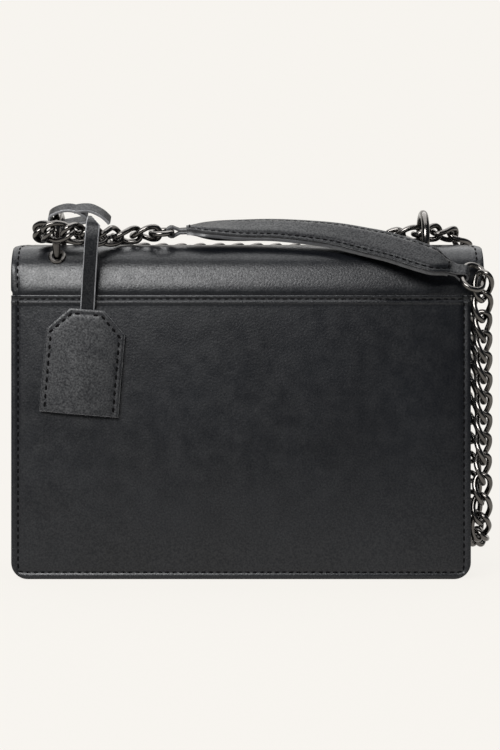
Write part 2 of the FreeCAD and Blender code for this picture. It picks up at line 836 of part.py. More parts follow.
def make_handle_layer(label, width, low, high):
    """One layer of the handle, lofted along its arch between two levels."""
    places, acrosses = handle_route()
    sections = []
    for index in range(0, len(places), PATH_STEPS // 2):
        place, heading, across, normal = handle_frame(places, acrosses, index)
        corners = [(-1, low), (1, low), (1, high), (-1, high)]
        points = [place + across * (side * width / 2) + normal * level for side, level in corners]
        sections.append(Part.makePolygon(points + points[:1]))
    return solid_feature(label, Part.makeLoft(sections, True, True))


def handle_end(end):
    """The last place of the handle's pad at one end, its outward heading, across and normal."""
    places, acrosses = handle_route()
    index = len(places) - 1 if end == HANDLE_RIGHT else 0
    place, heading, across, normal = handle_frame(places, acrosses, index)
    outward = heading if end == HANDLE_RIGHT else heading * -1
    return place, outward, across, normal


def handle_ring_bars(end):
    """The middle of the ring's bar in the handle's tab, and of its bar towards the chain."""
    place, outward, across, normal = handle_end(end)
    loop = size("handle_ring_wire / 2 + handle_skin + tag_clearance")
    tab_bar = place + outward * (size("handle_neck") + loop)
    return tab_bar, tab_bar + outward * size("2 * handle_ring_radius")


def make_handle_ring(label, end):
    """An oval ring with two straight bars, one in the handle's tab and one for the chain."""
    tab_bar, chain_bar = handle_ring_bars(end)
    place, outward, across, normal = handle_end(end)
    half = across * size("handle_ring_bar / 2")
    middle = (tab_bar + chain_bar) / 2
    radius = size("handle_ring_wire / 2")
    turn = outward.cross(across)
    rods = [
        straight_rod(tab_bar - half, tab_bar + half, radius),
        straight_rod(chain_bar - half, chain_bar + half, radius),
        arc_rod(chain_bar + half, middle + half, turn, math.pi, radius),
        arc_rod(tab_bar - half, middle - half, turn, math.pi, radius),
    ]
    return solid_feature(label, rods[0].multiFuse(rods[1:]))


def make_handle_tab(label, end):
    """The necked end of the handle, folded round the ring's bar."""
    tab_bar = handle_ring_bars(end)[0]
    place, outward, across, normal = handle_end(end)
    width = size("handle_tab_width")
    skin = size("handle_skin")
    inner = size("handle_ring_wire / 2 + tag_clearance / 2")
    start = tab_bar - across * (width / 2)
    tube = Part.makeCylinder(inner + skin, width, start, across)
    neck_corner = place - across * (width / 2) - normal * skin
    length = (tab_bar - place).Length
    neck = prism(
        [neck_corner, neck_corner + outward * length, neck_corner + outward * length + normal * 2 * skin,
         neck_corner + normal * 2 * skin],
        across * width,
    )
    bore = Part.makeCylinder(inner, width, start, across)
    return solid_feature(label, tube.fuse(neck).removeSplitter().cut(bore))


def make_handle():
    """The padded handle: base leather, core and top leather, with a tab and a ring at each end."""
    skin = size("handle_skin")
    core = size("handle_core / 2")
    width = size("handle_width")
    pieces = [
        make_handle_layer("handle_base", width, -core - skin, -core),
        make_handle_layer("handle_core", size("handle_core_width"), -core, core),
        make_handle_layer("handle_top", width, core, core + skin),
    ]
    for name, end in (("left", HANDLE_LEFT), ("right", HANDLE_RIGHT)):
        pieces.append(make_handle_ring(f"handle_{name}_ring", end))
        pieces.append(make_handle_tab(f"handle_{name}_tab", end))
    return pieces


# Hang tag

TAG_ARCH = [
    (0.97, -0.6), (0.47, -1.60), (0.0, -2.35), (-0.20, -1.45), (-0.225, 0.9), (0.0, 2.45), (0.35, 3.2),
    (0.68, 2.5), (0.97, 0.6),
]
TAG_TAIL = [(0.60, 2.7), (0.85, 3.1), (1.12, 2.9), (1.42, 1.4), (1.60, -0.3), (1.67, -1.25)]


def band(points, thickness, travel):
    """A strip of leather that follows a line of points, moved along a vector to its width."""
    flat = Vector(travel).normalize()
    left = []
    right = []
    for index, point in enumerate(points):
        before = points[max(index - 1, 0)]
        after = points[min(index + 1, len(points) - 1)]
        sideways = flat.cross((after - before).normalize()) * (thickness / 2)
        left.append(point + sideways)
        right.append(point - sideways)
    return prism(left + right[::-1], travel)


def tag_knot():
    """Where the tag's strap leaves its loop."""
    lean = math.radians(size("tag_loop_lean"))
    out = Vector(0, -math.sin(lean), math.cos(lean))
    wire = ring_centre(-1) + out * size("ring_radius")
    return wire + X_AXIS * size("tag_loop_reach"), wire, out


def make_tag_loop():
    """The loop of the tag's strap: an arch round the left ring, back to the knot, with its cut tail."""
    knot, wire, out = tag_knot()
    width = size("tag_strap_width")
    thickness = size("tag_strap_thickness")
    along_ring = X_AXIS.cross(out)
    start = wire - along_ring * (width / 2)
    reach = X_AXIS * size("tag_loop_reach")
    strips = []
    for shares in (TAG_ARCH, TAG_TAIL):
        line = smooth_line([start + reach * share + out * (level * thickness) for share, level in shares])
        strips.append(band(line[::4], thickness, along_ring * width))
    return solid_feature("tag_loop", strips[0].fuse(strips[1]).removeSplitter())


def tag_tilted(shape):
    """A piece of the tag, leaned about the knot as it hangs."""
    knot = tag_knot()[0]
    turned = shape.copy()
    turned.rotate(knot, Y_AXIS, size("tag_tilt"))
    return turned


def tag_place():
    """The middle of the tag's top edge before it is leaned, on the tag's back face."""
    knot = tag_knot()[0]
    return Vector(
        knot.x + size("tag_strap_width / 2 + tag_clearance"),
        size(f"{BACK_FACE} - tag_clearance"), size("tag_top_height"),
    )


def make_tag_strap():
    """The narrow strap, cut aslant under the loop's tail, out over the chain and down to the tag."""
    knot = tag_knot()[0]
    top = tag_place()
    thickness = size("tag_strap_thickness")
    middle = top.y - size("tag_thickness")
    line = [
        Vector(0, knot.y, knot.z), Vector(0, middle - 4.2, knot.z - 2.0), Vector(0, middle - 7.8, knot.z - 9),
        Vector(0, middle - 5.4, knot.z - 26), Vector(0, middle, top.z + size("tag_clearance")),
    ]
    width = size("tag_strap_width")
    left = top.x - width / 2
    strip = band(line, thickness, X_AXIS * width).translated(X_AXIS * left)
    slant = [(0.0, 0.6), (1.0, -3.2), (1.2, -3.2), (1.2, 3.0), (0.0, 3.0)]
    corners = [Vector(left + across * width, knot.y + width, knot.z + up * thickness) for across, up in slant]
    under_tail = prism(corners, Y_AXIS * -size("bag_depth / 2"))
    return solid_feature("tag_strap", tag_tilted(strip.cut(under_tail)))


def make_tag_leaf(label, back_face):
    """One leather of the tag: a sheet with sloping shoulders, its back face at a given place in Y."""
    top = tag_place()
    half = size("tag_width / 2")
    narrow = size("tag_top_width / 2")
    shoulder = top.z - size("tag_shoulder")
    low = top.z - size("tag_height")
    outline = [
        (-half, low), (half, low), (half, shoulder), (narrow, top.z), (-narrow, top.z), (-half, shoulder),
    ]
    points = [Vector(top.x + across, back_face, height) for across, height in outline]
    return solid_feature(label, tag_tilted(prism(points, Y_AXIS * -size("tag_thickness"))))


def make_tag():
    """The hang tag, its strap and the loop round the left ring."""
    back = tag_place().y
    return [
        make_tag_loop(),
        make_tag_strap(),
        make_tag_leaf("tag_back", back),
        make_tag_leaf("tag_front", back - size("tag_thickness")),
    ]


# Whole bag

def build():
    """Make every piece of the bag."""
    fill_sheet()
    pieces = make_panels()
    pieces += [make_gusset("left_gusset", -1), make_gusset("right_gusset", 1)]
    pieces.append(make_yoke())
    pieces.append(make_flap_layer("flap_panel", 0.0, size("leather"), 0.0, 0.0))
    inset = size("flap_lining_inset")
    pieces.append(make_flap_layer("flap_lining", size("leather"), size("lining_thickness"), inset, inset))
    for name, side in (("left", -1), ("right", 1)):
        pieces.append(make_ring(f"{name}_ring", side))
        pieces.append(make_eyelets(f"{name}_eyelets", side))
    pieces += make_inside()
    pieces += make_snap()
    pieces += make_handle()
    pieces += [make_side_loop(), make_top_chain(), make_left_turn()]
    pieces += make_tag()
    return pieces


def check_and_write(pieces):
    """Stop at any failed object or bad shape, then write each piece to its own file."""
    DOCUMENT.recompute()
    for item in DOCUMENT.Objects:
        if "Invalid" in item.State or "Error" in item.State:
            raise RuntimeError(f"{item.Label} failed: {item.State}")
    for piece in pieces:
        if piece.Shape.isNull() or not piece.Shape.isValid() or piece.Shape.Volume <= 0:
            raise RuntimeError(f"{piece.Label} has no valid shape")
    os.makedirs("parts", exist_ok=True)
    for piece in pieces:
        piece.Shape.exportStep(os.path.join("parts", piece.Label + ".step"))


check_and_write(build())
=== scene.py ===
"""Looks of the chain shoulder bag: soft leather, seams, finishes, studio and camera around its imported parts.

Sizes are written in millimetres and become metres where a mesh is placed. The bag's back, with its slip
pocket, faces -Y, +X is to the right of someone who looks at it, and the bag stands on Z = 0.
"""
import json
import logging
import math
from collections.abc import Callable, Sequence
from dataclasses import dataclass
from enum import Enum
from functools import partial

import bpy
from mathutils import Matrix, Vector


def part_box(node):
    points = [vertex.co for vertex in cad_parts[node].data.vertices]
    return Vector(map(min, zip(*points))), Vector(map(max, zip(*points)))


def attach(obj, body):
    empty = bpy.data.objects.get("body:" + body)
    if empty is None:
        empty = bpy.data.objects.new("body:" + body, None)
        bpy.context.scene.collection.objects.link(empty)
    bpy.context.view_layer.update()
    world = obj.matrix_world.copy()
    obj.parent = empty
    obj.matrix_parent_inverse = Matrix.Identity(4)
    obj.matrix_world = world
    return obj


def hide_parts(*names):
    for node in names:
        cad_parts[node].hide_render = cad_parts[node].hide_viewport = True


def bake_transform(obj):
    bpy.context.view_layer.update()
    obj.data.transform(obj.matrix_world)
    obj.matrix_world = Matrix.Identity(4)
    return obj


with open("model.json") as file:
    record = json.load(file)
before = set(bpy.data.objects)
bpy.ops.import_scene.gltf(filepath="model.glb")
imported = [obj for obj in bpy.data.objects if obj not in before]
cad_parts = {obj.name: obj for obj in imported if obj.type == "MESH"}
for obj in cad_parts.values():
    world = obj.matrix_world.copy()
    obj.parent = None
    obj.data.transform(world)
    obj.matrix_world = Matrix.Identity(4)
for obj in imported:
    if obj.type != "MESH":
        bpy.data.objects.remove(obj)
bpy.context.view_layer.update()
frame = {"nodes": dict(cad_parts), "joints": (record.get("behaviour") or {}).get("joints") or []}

LOG = logging.getLogger("chain_shoulder_bag")
MM = 0.001
PATTERN_LOW = 0.3
PATTERN_HIGH = 0.7
SEAM_DENT_WIDTH = 0.9
EDGE_ROLL = 0.30
EDGE_ROLL_REACH = 1.4
CORNER_ANGLE = 50.0
SMOOTH_ANGLE = 40.0
STRIP_COLUMNS = (-1.0, -0.75, -0.4, 0.0, 0.4, 0.75, 1.0)

Colour = tuple[float, float, float]
Point = tuple[float, float, float]
Place = Callable[[float, float], Vector]
Piece = bpy.types.Object
Material = bpy.types.Material
Socket = bpy.types.NodeSocket


class Body(str, Enum):
    """The bodies that pieces ride on."""

    BAG = "bag_body"
    FLAP = "flap"
    HANDLE = "handle"
    HANGER = "tag_hanger"
    TAG = "tag"


class Slot(str, Enum):
    """The record's material slots, named with each soft piece."""

    LEATHER = "leather"
    LINING = "lining"


class Facing(Enum):
    """Which way an upright panel's outer face looks along Y."""

    BACK = -1.0
    FRONT = 1.0

    @property
    def normal(self) -> Vector:
        """The direction that the face looks in."""
        return Vector((0.0, self.value, 0.0))


class End(Enum):
    """The two ends of the bag along X."""

    LEFT = -1.0
    RIGHT = 1.0

    @property
    def normal(self) -> Vector:
        """The direction that the end looks in."""
        return Vector((self.value, 0.0, 0.0))

    @property
    def word(self) -> str:
        """The end's name inside a piece's name."""
        return self.name.lower()


# Finishes


class NodeBench:
    """A new material with a Principled shader, and short ways to add and join its nodes."""

    def __init__(self, name: str) -> None:
        """Make the empty material.

        Args:
            name: The material's name.
        """
        self.material = bpy.data.materials.new(name)
        self.material.use_nodes = True
        self.tree = self.material.node_tree
        self.shader = self.tree.nodes["Principled BSDF"]
        self.coordinates = self.tree.nodes.new("ShaderNodeTexCoord").outputs["Object"]

    def add(self, kind: str, values: dict[str, float] | None = None, **settings: str) -> bpy.types.Node:
        """Add a node.

        Args:
            kind: The node's type name.
            values: Values for its input sockets.
            settings: Its own properties.

        Returns:
            The new node.
        """
        node = self.tree.nodes.new(kind)
        for key, value in settings.items():
            setattr(node, key, value)
        for key, value in (values or {}).items():
            node.inputs[key].default_value = value
        return node

    def join(self, source: Socket, target: Socket) -> None:
        """Link an output socket to an input socket."""
        self.tree.links.new(source, target)

    def noise(self, scale: float, detail: float = 2.0) -> Socket:
        """Add a noise pattern in the piece's own coordinates.

        Args:
            scale: Features per metre.
            detail: Finer layers of the pattern.

        Returns:
            The pattern's value from 0 to 1.
        """
        node = self.add("ShaderNodeTexNoise", {"Scale": scale, "Detail": detail})
        self.join(self.coordinates, node.inputs["Vector"])
        return node.outputs["Fac"]

    def ranged(self, value: Socket, low: float, high: float) -> Socket:
        """Spread the middle of a pattern over a range.

        Args:
            value: The pattern.
            low: The value at its dark places.
            high: The value at its light places.

        Returns:
            The spread value.
        """
        limits = {"From Min": PATTERN_LOW, "From Max": PATTERN_HIGH, "To Min": low, "To Max": high}
        node = self.add("ShaderNodeMapRange", limits)
        self.join(value, node.inputs["Value"])
        return node.outputs["Result"]

    def tinted(self, value: Socket, dark: Colour, light: Colour) -> None:
        """Vary the base colour with a pattern.

        Args:
            value: The pattern.
            dark: The colour at its dark places.
            light: The colour at its light places.
        """
        ramp = self.add("ShaderNodeValToRGB")
        ends = ((PATTERN_LOW, dark), (PATTERN_HIGH, light))
        for stop, (position, colour) in zip(ramp.color_ramp.elements, ends):
            stop.position = position
            stop.color = (*colour, 1.0)
        self.join(value, ramp.inputs["Fac"])
        self.join(ramp.outputs["Color"], self.shader.inputs["Base Color"])

    def glossed(self, value: Socket, roughness: tuple[float, float]) -> None:
        """Vary the roughness with a pattern, from its dark places to its light places."""
        self.join(self.ranged(value, *roughness), self.shader.inputs["Roughness"])

    def bumped(self, value: Socket, strength: float, depth: float) -> None:
        """Raise the surface by a pattern.

        Args:
            value: The pattern.
            strength: How much of the bump shows.
            depth: Its height in millimetres.
        """
        bump = self.add("ShaderNodeBump", {"Strength": strength, "Distance": depth * MM})
        self.join(value, bump.inputs["Height"])
        self.join(bump.outputs["Normal"], self.shader.inputs["Normal"])

    def summed(self, first: Socket, second: Socket, share: float) -> Socket:
        """Add a share of one pattern to another.

        Args:
            first: The main pattern.
            second: The pattern that is added.
            share: How much of the second is added.

        Returns:
            The sum.
        """
        node = self.add("ShaderNodeMath", operation="MULTIPLY_ADD")
        node.inputs[1].default_value = share
        self.join(second, node.inputs[0])
        self.join(first, node.inputs[2])
        return node.outputs["Value"]

    def combined(self, operation: str, first: Socket, second: Socket) -> Socket:
        """The greater of two values, or their product, or the like.

        Args:
            operation: The name of the sum.
            first: One value.
            second: The other value.

        Returns:
            The result.
        """
        node = self.add("ShaderNodeMath", operation=operation)
        self.join(first, node.inputs[0])
        self.join(second, node.inputs[1])
        return node.outputs["Value"]

    def shaded(self, values: dict[str, float]) -> Material:
        """Set values of the shader itself.

        Args:
            values: The values by the names of their sockets.

        Returns:
            The finished material.
        """
        for key, value in values.items():
            self.shader.inputs[key].default_value = value
        return self.material


@dataclass(frozen=True)
class Finish:
    """A finish between a dark and a light tone."""

    name: str
    dark: Colour
    light: Colour


@dataclass(frozen=True)
class LeatherFinish(Finish):
    """Smooth calf leather with a fine pebble and a soft sheen."""

    roughness: tuple[float, float]
    specular: float
    pebble: float
    bump: float
    speckle: float = 0.6
    pore: float = 3600.0
    pore_share: float = 0.5
    depth: float = 0.10
    smoothness: float = 0.6
    clouds: float = 22.0
    gloss_patches: float = 160.0
    specks: float = 1200.0

    def material(self) -> Material:
        """Build the leather's nodes: pebbled grain, pores, a speckle, and slow changes of tone and gloss.

        Returns:
            The finished material.
        """
        bench = NodeBench(self.name)
        pebbles = {"Scale": self.pebble, "Smoothness": self.smoothness}
        cells = bench.add("ShaderNodeTexVoronoi", pebbles, feature="SMOOTH_F1")
        bench.join(bench.coordinates, cells.inputs["Vector"])
        grain = bench.summed(cells.outputs["Distance"], bench.noise(self.pore), self.pore_share)
        bench.bumped(grain, self.bump, self.depth)
        bench.tinted(bench.noise(self.clouds, detail=4.0), self.dark, self.light)
        bench.glossed(bench.noise(self.gloss_patches, detail=3.0), self.roughness)
        shine = (self.specular * (1.0 - self.speckle), self.specular * (1.0 + self.speckle))
        speckled = bench.ranged(bench.noise(self.specks, detail=1.0), *shine)
        bench.join(speckled, bench.shader.inputs["Specular IOR Level"])
        return bench.material


@dataclass(frozen=True)
class EdgePaintFinish(Finish):
    """Burnished edge paint on cut leather, a little lighter than the leather; its grey copy also holds a
    painted highlight of the cut edges.
    """

    waves: float = 420.0
    bump: float = 0.25
    depth: float = 0.12
    clouds: float = 300.0
    roughness: float = 0.36

    def material(self) -> Material:
        """Build the paint's nodes: slight waves from the brush.

        Returns:
            The finished material.
        """
        bench = NodeBench(self.name)
        bench.bumped(bench.noise(self.waves), self.bump, self.depth)
        bench.tinted(bench.noise(self.clouds), self.dark, self.light)
        return bench.shaded({"Roughness": self.roughness})


@dataclass(frozen=True)
class ThreadFinish(Finish):
    """Waxed sewing thread with its twist."""

    plies: float = 900.0
    wander: float = 1.5
    bump: float = 0.4
    depth: float = 0.08
    roughness: float = 0.7
    specular: float = 0.06

    def material(self) -> Material:
        """Build the thread's nodes: fine slanted plies.

        Returns:
            The finished material.
        """
        bench = NodeBench(self.name)
        plies = {"Scale": self.plies, "Distortion": self.wander}
        twist = bench.add("ShaderNodeTexWave", plies, wave_type="BANDS", bands_direction="DIAGONAL")
        bench.join(bench.coordinates, twist.inputs["Vector"])
        bench.bumped(twist.outputs["Fac"], self.bump, self.depth)
        bench.tinted(twist.outputs["Fac"], self.dark, self.light)
        return bench.shaded({"Roughness": self.roughness, "Specular IOR Level": self.specular})


@dataclass(frozen=True)
class GunmetalFinish(Finish):
    """Polished dark plating with faint clouding and handling marks."""

    roughness: tuple[float, float]
    clouds: float = 140.0
    handling: float = 420.0
    hairlines: float = 1400.0
    bump: float = 0.06
    depth: float = 0.05

    def material(self) -> Material:
        """Build the plating's nodes: tone, gloss and hairline marks.

        Returns:
            The finished material.
        """
        bench = NodeBench(self.name)
        bench.tinted(bench.noise(self.clouds, detail=3.0), self.dark, self.light)
        bench.glossed(bench.noise(self.handling, detail=4.0), self.roughness)
        bench.bumped(bench.noise(self.hairlines), self.bump, self.depth)
        return bench.shaded({"Metallic": 1.0})


@dataclass(frozen=True)
class LiningFinish(Finish):
    """Plain-woven lining cloth."""

    threads: float = 1900.0
    threads_per_band: float = 6.0
    wander: float = 0.6
    bump: float = 0.5
    depth: float = 0.15
    clouds: float = 60.0
    roughness: float = 0.8
    sheen: float = 0.15

    def material(self) -> Material:
        """Build the cloth's nodes: crossing threads along X and Z.

        Returns:
            The finished material.
        """
        bench = NodeBench(self.name)
        weave = []
        for direction in ("X", "Z"):
            bands = {"Scale": self.threads / self.threads_per_band, "Distortion": self.wander}
            wave = bench.add("ShaderNodeTexWave", bands, bands_direction=direction)
            bench.join(bench.coordinates, wave.inputs["Vector"])
            weave.append(wave.outputs["Fac"])
        bench.bumped(bench.summed(*weave, 1.0), self.bump, self.depth)
        bench.tinted(bench.noise(self.clouds, detail=3.0), self.dark, self.light)
        return bench.shaded({"Roughness": self.roughness, "Sheen Weight": self.sheen})


@dataclass(frozen=True)
class BoardFinish(Finish):
    """Pressed fibre board."""

    fibres: float = 900.0
    bump: float = 0.4
    depth: float = 0.2
    specks: float = 240.0
    roughness: float = 0.85

    def material(self) -> Material:
        """Build the board's nodes: fibres and specks.

        Returns:
            The finished material.
        """
        bench = NodeBench(self.name)
        bench.bumped(bench.noise(self.fibres, detail=4.0), self.bump, self.depth)
        bench.tinted(bench.noise(self.specks, detail=5.0), self.dark, self.light)
        return bench.shaded({"Roughness": self.roughness})


@dataclass(frozen=True)
class PaperFinish:
    """The seamless paper of the studio, part of it glowing so that its tone stays even."""

    name: str
    tone: Colour
    shade: float
    glow_near: float
    glow_far: float
    near: float
    far: float
    roughness: float = 0.9
    specular: float = 0.1

    def material(self) -> Material:
        """Build the paper's nodes: a diffuse sheet, lifted for rays that show the background.

        Returns:
            The finished material.
        """
        bench = NodeBench(self.name)
        nodes = bench.tree.nodes
        rays = nodes.new("ShaderNodeLightPath")
        seen = bench.combined("MAXIMUM", rays.outputs["Is Camera Ray"], rays.outputs["Is Glossy Ray"])
        seen = bench.combined("MAXIMUM", seen, rays.outputs["Is Transmission Ray"])
        place = nodes.new("ShaderNodeSeparateXYZ")
        bench.join(bench.coordinates, place.inputs["Vector"])
        rise = bench.add(
            "ShaderNodeMapRange",
            {"From Min": self.near, "From Max": self.far, "To Min": self.glow_near, "To Max": self.glow_far},
        )
        bench.join(place.outputs["Y"], rise.inputs["Value"])
        share = bench.combined("MULTIPLY", seen, rise.outputs["Result"])
        glow = nodes.new("ShaderNodeEmission")
        glow.inputs["Color"].default_value = (*self.tone, 1.0)
        mixed = nodes.new("ShaderNodeMixShader")
        bench.join(share, mixed.inputs["Fac"])
        bench.join(bench.shader.outputs["BSDF"], mixed.inputs[1])
        bench.join(glow.outputs["Emission"], mixed.inputs[2])
        bench.join(mixed.outputs["Shader"], nodes["Material Output"].inputs["Surface"])
        bench.shader.inputs["Base Color"].default_value = (*(self.shade * part for part in self.tone), 1.0)
        return bench.shaded({"Roughness": self.roughness, "Specular IOR Level": self.specular})


class Finishes:
    """Every finish of the bag, built once."""

    def __init__(self) -> None:
        """Build the materials."""
        self.leather = LeatherFinish(
            "black_calf_leather", (0.0026, 0.0030, 0.0042), (0.0046, 0.0053, 0.0070),
            roughness=(0.29, 0.36), specular=0.38, pebble=1000.0, bump=0.34, speckle=0.27,
        ).material()
        self.strap_leather = LeatherFinish(
            "black_strap_leather", (0.0046, 0.0050, 0.0058), (0.0066, 0.0072, 0.0087),
            roughness=(0.36, 0.46), specular=0.20, pebble=1100.0, bump=0.25,
        ).material()
        self.tag_leather = LeatherFinish(
            "black_tag_leather", (0.0064, 0.0068, 0.0078), (0.0105, 0.0110, 0.0125),
            roughness=(0.33, 0.45), specular=0.44, pebble=900.0, bump=0.3,
        ).material()
        self.edge = EdgePaintFinish(
            "black_edge_paint", (0.030, 0.030, 0.032), (0.052, 0.053, 0.056)
        ).material()
        # The grey edge finish is partly edge paint and partly a painted highlight: its pale tone stands in for
        # the light that the cut edges catch.
        self.pale_edge_and_highlight = EdgePaintFinish(
            "grey_edge_paint_and_painted_highlight", (0.15, 0.15, 0.157), (0.23, 0.232, 0.240)
        ).material()
        self.thread = ThreadFinish(
            "black_thread", (0.0010, 0.0010, 0.0012), (0.0026, 0.0026, 0.0030)
        ).material()
        self.gunmetal = GunmetalFinish(
            "gunmetal_plating", (0.088, 0.083, 0.078), (0.140, 0.132, 0.124), roughness=(0.13, 0.24)
        ).material()
        self.lining = LiningFinish(
            "black_lining_cloth", (0.012, 0.012, 0.013), (0.022, 0.022, 0.024)
        ).material()
        self.board = BoardFinish(
            "base_board_fibre", (0.045, 0.043, 0.040), (0.085, 0.082, 0.078)
        ).material()


# Modelling at the bench


def clear_selection() -> None:
    """Leave edit mode and deselect every object."""
    if bpy.context.object is not None and bpy.context.object.mode != "OBJECT":
        bpy.ops.object.mode_set(mode="OBJECT")
    bpy.ops.object.select_all(action="DESELECT")


def take(piece: Piece) -> None:
    """Make one piece the only selected and the active object.

    Args:
        piece: The object to work on.
    """
    clear_selection()
    piece.select_set(True)
    bpy.context.view_layer.objects.active = piece


def open_whole(piece: Piece) -> None:
    """Open one piece for editing, with all of it selected.

    Args:
        piece: The object to edit.
    """
    take(piece)
    bpy.ops.object.mode_set(mode="EDIT")
    bpy.ops.mesh.select_all(action="SELECT")


def smoothstep(value: float) -> float:
    """An even rise from 0 to 1 over the values 0 to 1."""
    value = min(1.0, max(0.0, value))
    return value * value * (3.0 - 2.0 * value)


def dent(distance: float, line: float, width: float) -> float:
    """How far a seam pulls the leather in, from 0 to 1, at a distance from the edge.

    Args:
        distance: The distance from the edge.
        line: The seam's own distance from the edge.
        width: How wide the dent is.

    Returns:
        1 on the seam, falling to 0 beside it.
    """
    return math.exp(-(((distance - line) / width) ** 2))


def rolled(distance: float, reach: float) -> float:
    """How far a surface rolls in near an edge, from 1 at the edge to 0 at the reach."""
    return max(0.0, 1.0 - distance / reach) ** 2


def spread(low: float, high: float, count: int) -> list[float]:
    """Values from low to high in equal steps, both ends included."""
    return [low + (high - low) * index / count for index in range(count + 1)]


def stations(
    low: float, high: float, step: float, fine: Sequence[float] = (), both: bool = True
) -> list[float]:
    """Values from low to high, closer together near the ends.

    Args:
        low: The first value.
        high: The last value.
        step: The spacing between the fine stretches.
        fine: Distances from the ends that get a value each.
        both: Whether the low end is fine as well as the high end.

    Returns:
        The values in rising order.
    """
    margin = max(fine, default=0.0)
    start = low + (margin if both else 0.0)
    middle = spread(start, high - margin, max(1, round((high - margin - start) / step)))
    near = [low + distance for distance in fine] if both else []
    far = [high - distance for distance in fine]
    return sorted({round(value, 4) for value in middle + near + far})


def shares(half: float, step: float, fine: Sequence[float]) -> list[float]:
    """Places across a piece from -1 to 1, closer together near its edges.

    Args:
        half: Half of the piece's width.
        step: The spacing between the fine stretches.
        fine: Distances from the edges that get a place each.

    Returns:
        The places in rising order.
    """
    return [value / half for value in stations(-half, half, step, fine)]


def rounded(across: float, height: float, half: float, radius: float) -> tuple[float, float]:
    """Draw the square corners at the bottom of a piece in to an arc.

    Args:
        across: The place across, from -half to half.
        height: The height above the bottom edge.
        half: Half of the piece's width.
        radius: The corner's radius.

    Returns:
        The place across and the height on the rounded piece.
    """
    over = (abs(across) - (half - radius)) / radius if radius else 0.0
    under = (radius - height) / radius if radius else 0.0
    if over <= 0.0 or under <= 0.0:
        return across, height
    over, under = over * math.sqrt(1.0 - under * under / 2.0), under * math.sqrt(1.0 - over * over / 2.0)
    return math.copysign(half - radius + over * radius, across), radius - under * radius


def make_sheet(
    name: str, columns: Sequence[float], rows: Sequence[float], place: Place, outward: Vector
) -> Piece:
    """Add a grid, set its crossings on a surface and turn its faces outwards.

    Args:
        name: The piece's name.
        columns: The values along the grid's first direction.
        rows: The values along its second direction.
        place: Gives the point of a column and a row, in millimetres.
        outward: Where the middle of the sheet faces.

    Returns:
        The new sheet, one layer of faces.
    """
    clear_selection()
    across, along = len(columns) - 1, len(rows) - 1
    bpy.ops.mesh.primitive_grid_add(x_subdivisions=across, y_subdivisions=along, size=1.0)
    sheet = bpy.context.object
    sheet.name = name
    sheet.data.name = name
    for corner in sheet.data.vertices:
        column = columns[round((corner.co.x + 0.5) * across)]
        row = rows[round((corner.co.y + 0.5) * along)]
        corner.co = place(column, row) * MM
    sheet.data.update()
    middle = sheet.data.polygons[len(sheet.data.polygons) // 2 + across // 2]
    if middle.normal.dot(outward) < 0.0:
        open_whole(sheet)
        bpy.ops.mesh.flip_normals()
        bpy.ops.object.mode_set(mode="OBJECT")
    return sheet


def apply_modifier(piece: Piece, kind: str, **settings: float | bool | str) -> None:
    """Add a modifier, set it and apply it.

    Args:
        piece: The piece it shapes.
        kind: The modifier's type.
        settings: The modifier's own properties.
    """
    take(piece)
    modifier = piece.modifiers.new(kind.lower(), kind)
    for key, value in settings.items():
        setattr(modifier, key, value)
    bpy.ops.object.modifier_apply(modifier=modifier.name)


def finish_leather(
    piece: Piece, face: Material, edge: Material, thickness: float,
    centred: bool = False, round_over: float = 0.4, lit_edge: bool = False, eased: bool = True,
) -> Piece:
    """Give a sheet its thickness, painted cut edges and softened corners.

    Args:
        piece: The sheet.
        face: The finish of its faces.
        edge: The finish of its cut edges.
        thickness: Its thickness in millimetres, inwards from the sheet.
        centred: Whether the thickness lies on both sides of the sheet.
        round_over: How far its edges are rounded, in millimetres.
        lit_edge: Whether the edge's finish goes round its corners; with the grey edge finish this spreads its
            painted highlight over the rounded corners.
        eased: Whether the rounding gets smaller where the faces are short.

    Returns:
        The same piece.
    """
    piece.data.materials.append(face)
    piece.data.materials.append(edge)
    apply_modifier(
        piece, "SOLIDIFY", thickness=thickness * MM, offset=0.0 if centred else -1.0, use_even_offset=True,
        material_offset_rim=1,
    )
    if round_over:
        apply_modifier(
            piece, "BEVEL", width=round_over * MM, segments=2, limit_method="ANGLE",
            angle_limit=math.radians(CORNER_ANGLE), material=1 if lit_edge else -1, use_clamp_overlap=eased,
        )
    take(piece)
    bpy.ops.object.shade_smooth_by_angle(angle=math.radians(SMOOTH_ANGLE))
    return piece


def smooth_line(points: Sequence[Vector], steps: int) -> list[Vector]:
    """Points on a smooth line through the given points.

    Args:
        points: The points that it goes through.
        steps: How many pieces each stretch is cut into.

    Returns:
        The points along the line.
    """
    line = []
    last = len(points) - 1
    for index in range(last):
        before, start = points[max(index - 1, 0)], points[index]
        end, after = points[index + 1], points[min(index + 2, last)]
        for step in range(steps):
            share = step / steps
            bend = (before * 2.0 - start * 5.0 + end * 4.0 - after) * share ** 2
            twist = (start * 3.0 - before - end * 3.0 + after) * share ** 3
            line.append((start * 2.0 + (end - before) * share + bend + twist) / 2.0)
    return line + [points[last].copy()]


def make_strip(
    name: str, line: Sequence[Vector], across: Sequence[Vector], widths: Sequence[float], outward: Vector
) -> Piece:
    """Lay a narrow band along a line.

    Args:
        name: The band's name.
        line: The middle of the band, in millimetres.
        across: The direction across it at each point.
        widths: Its width at each point.
        outward: Where its middle faces.

    Returns:
        The new band, one layer of faces.
    """
    def place(column: float, index: int) -> Vector:
        """A point of the band."""
        return line[index] + across[index] * (column * widths[index] / 2.0)

    return make_sheet(name, STRIP_COLUMNS, range(len(line)), place, outward)


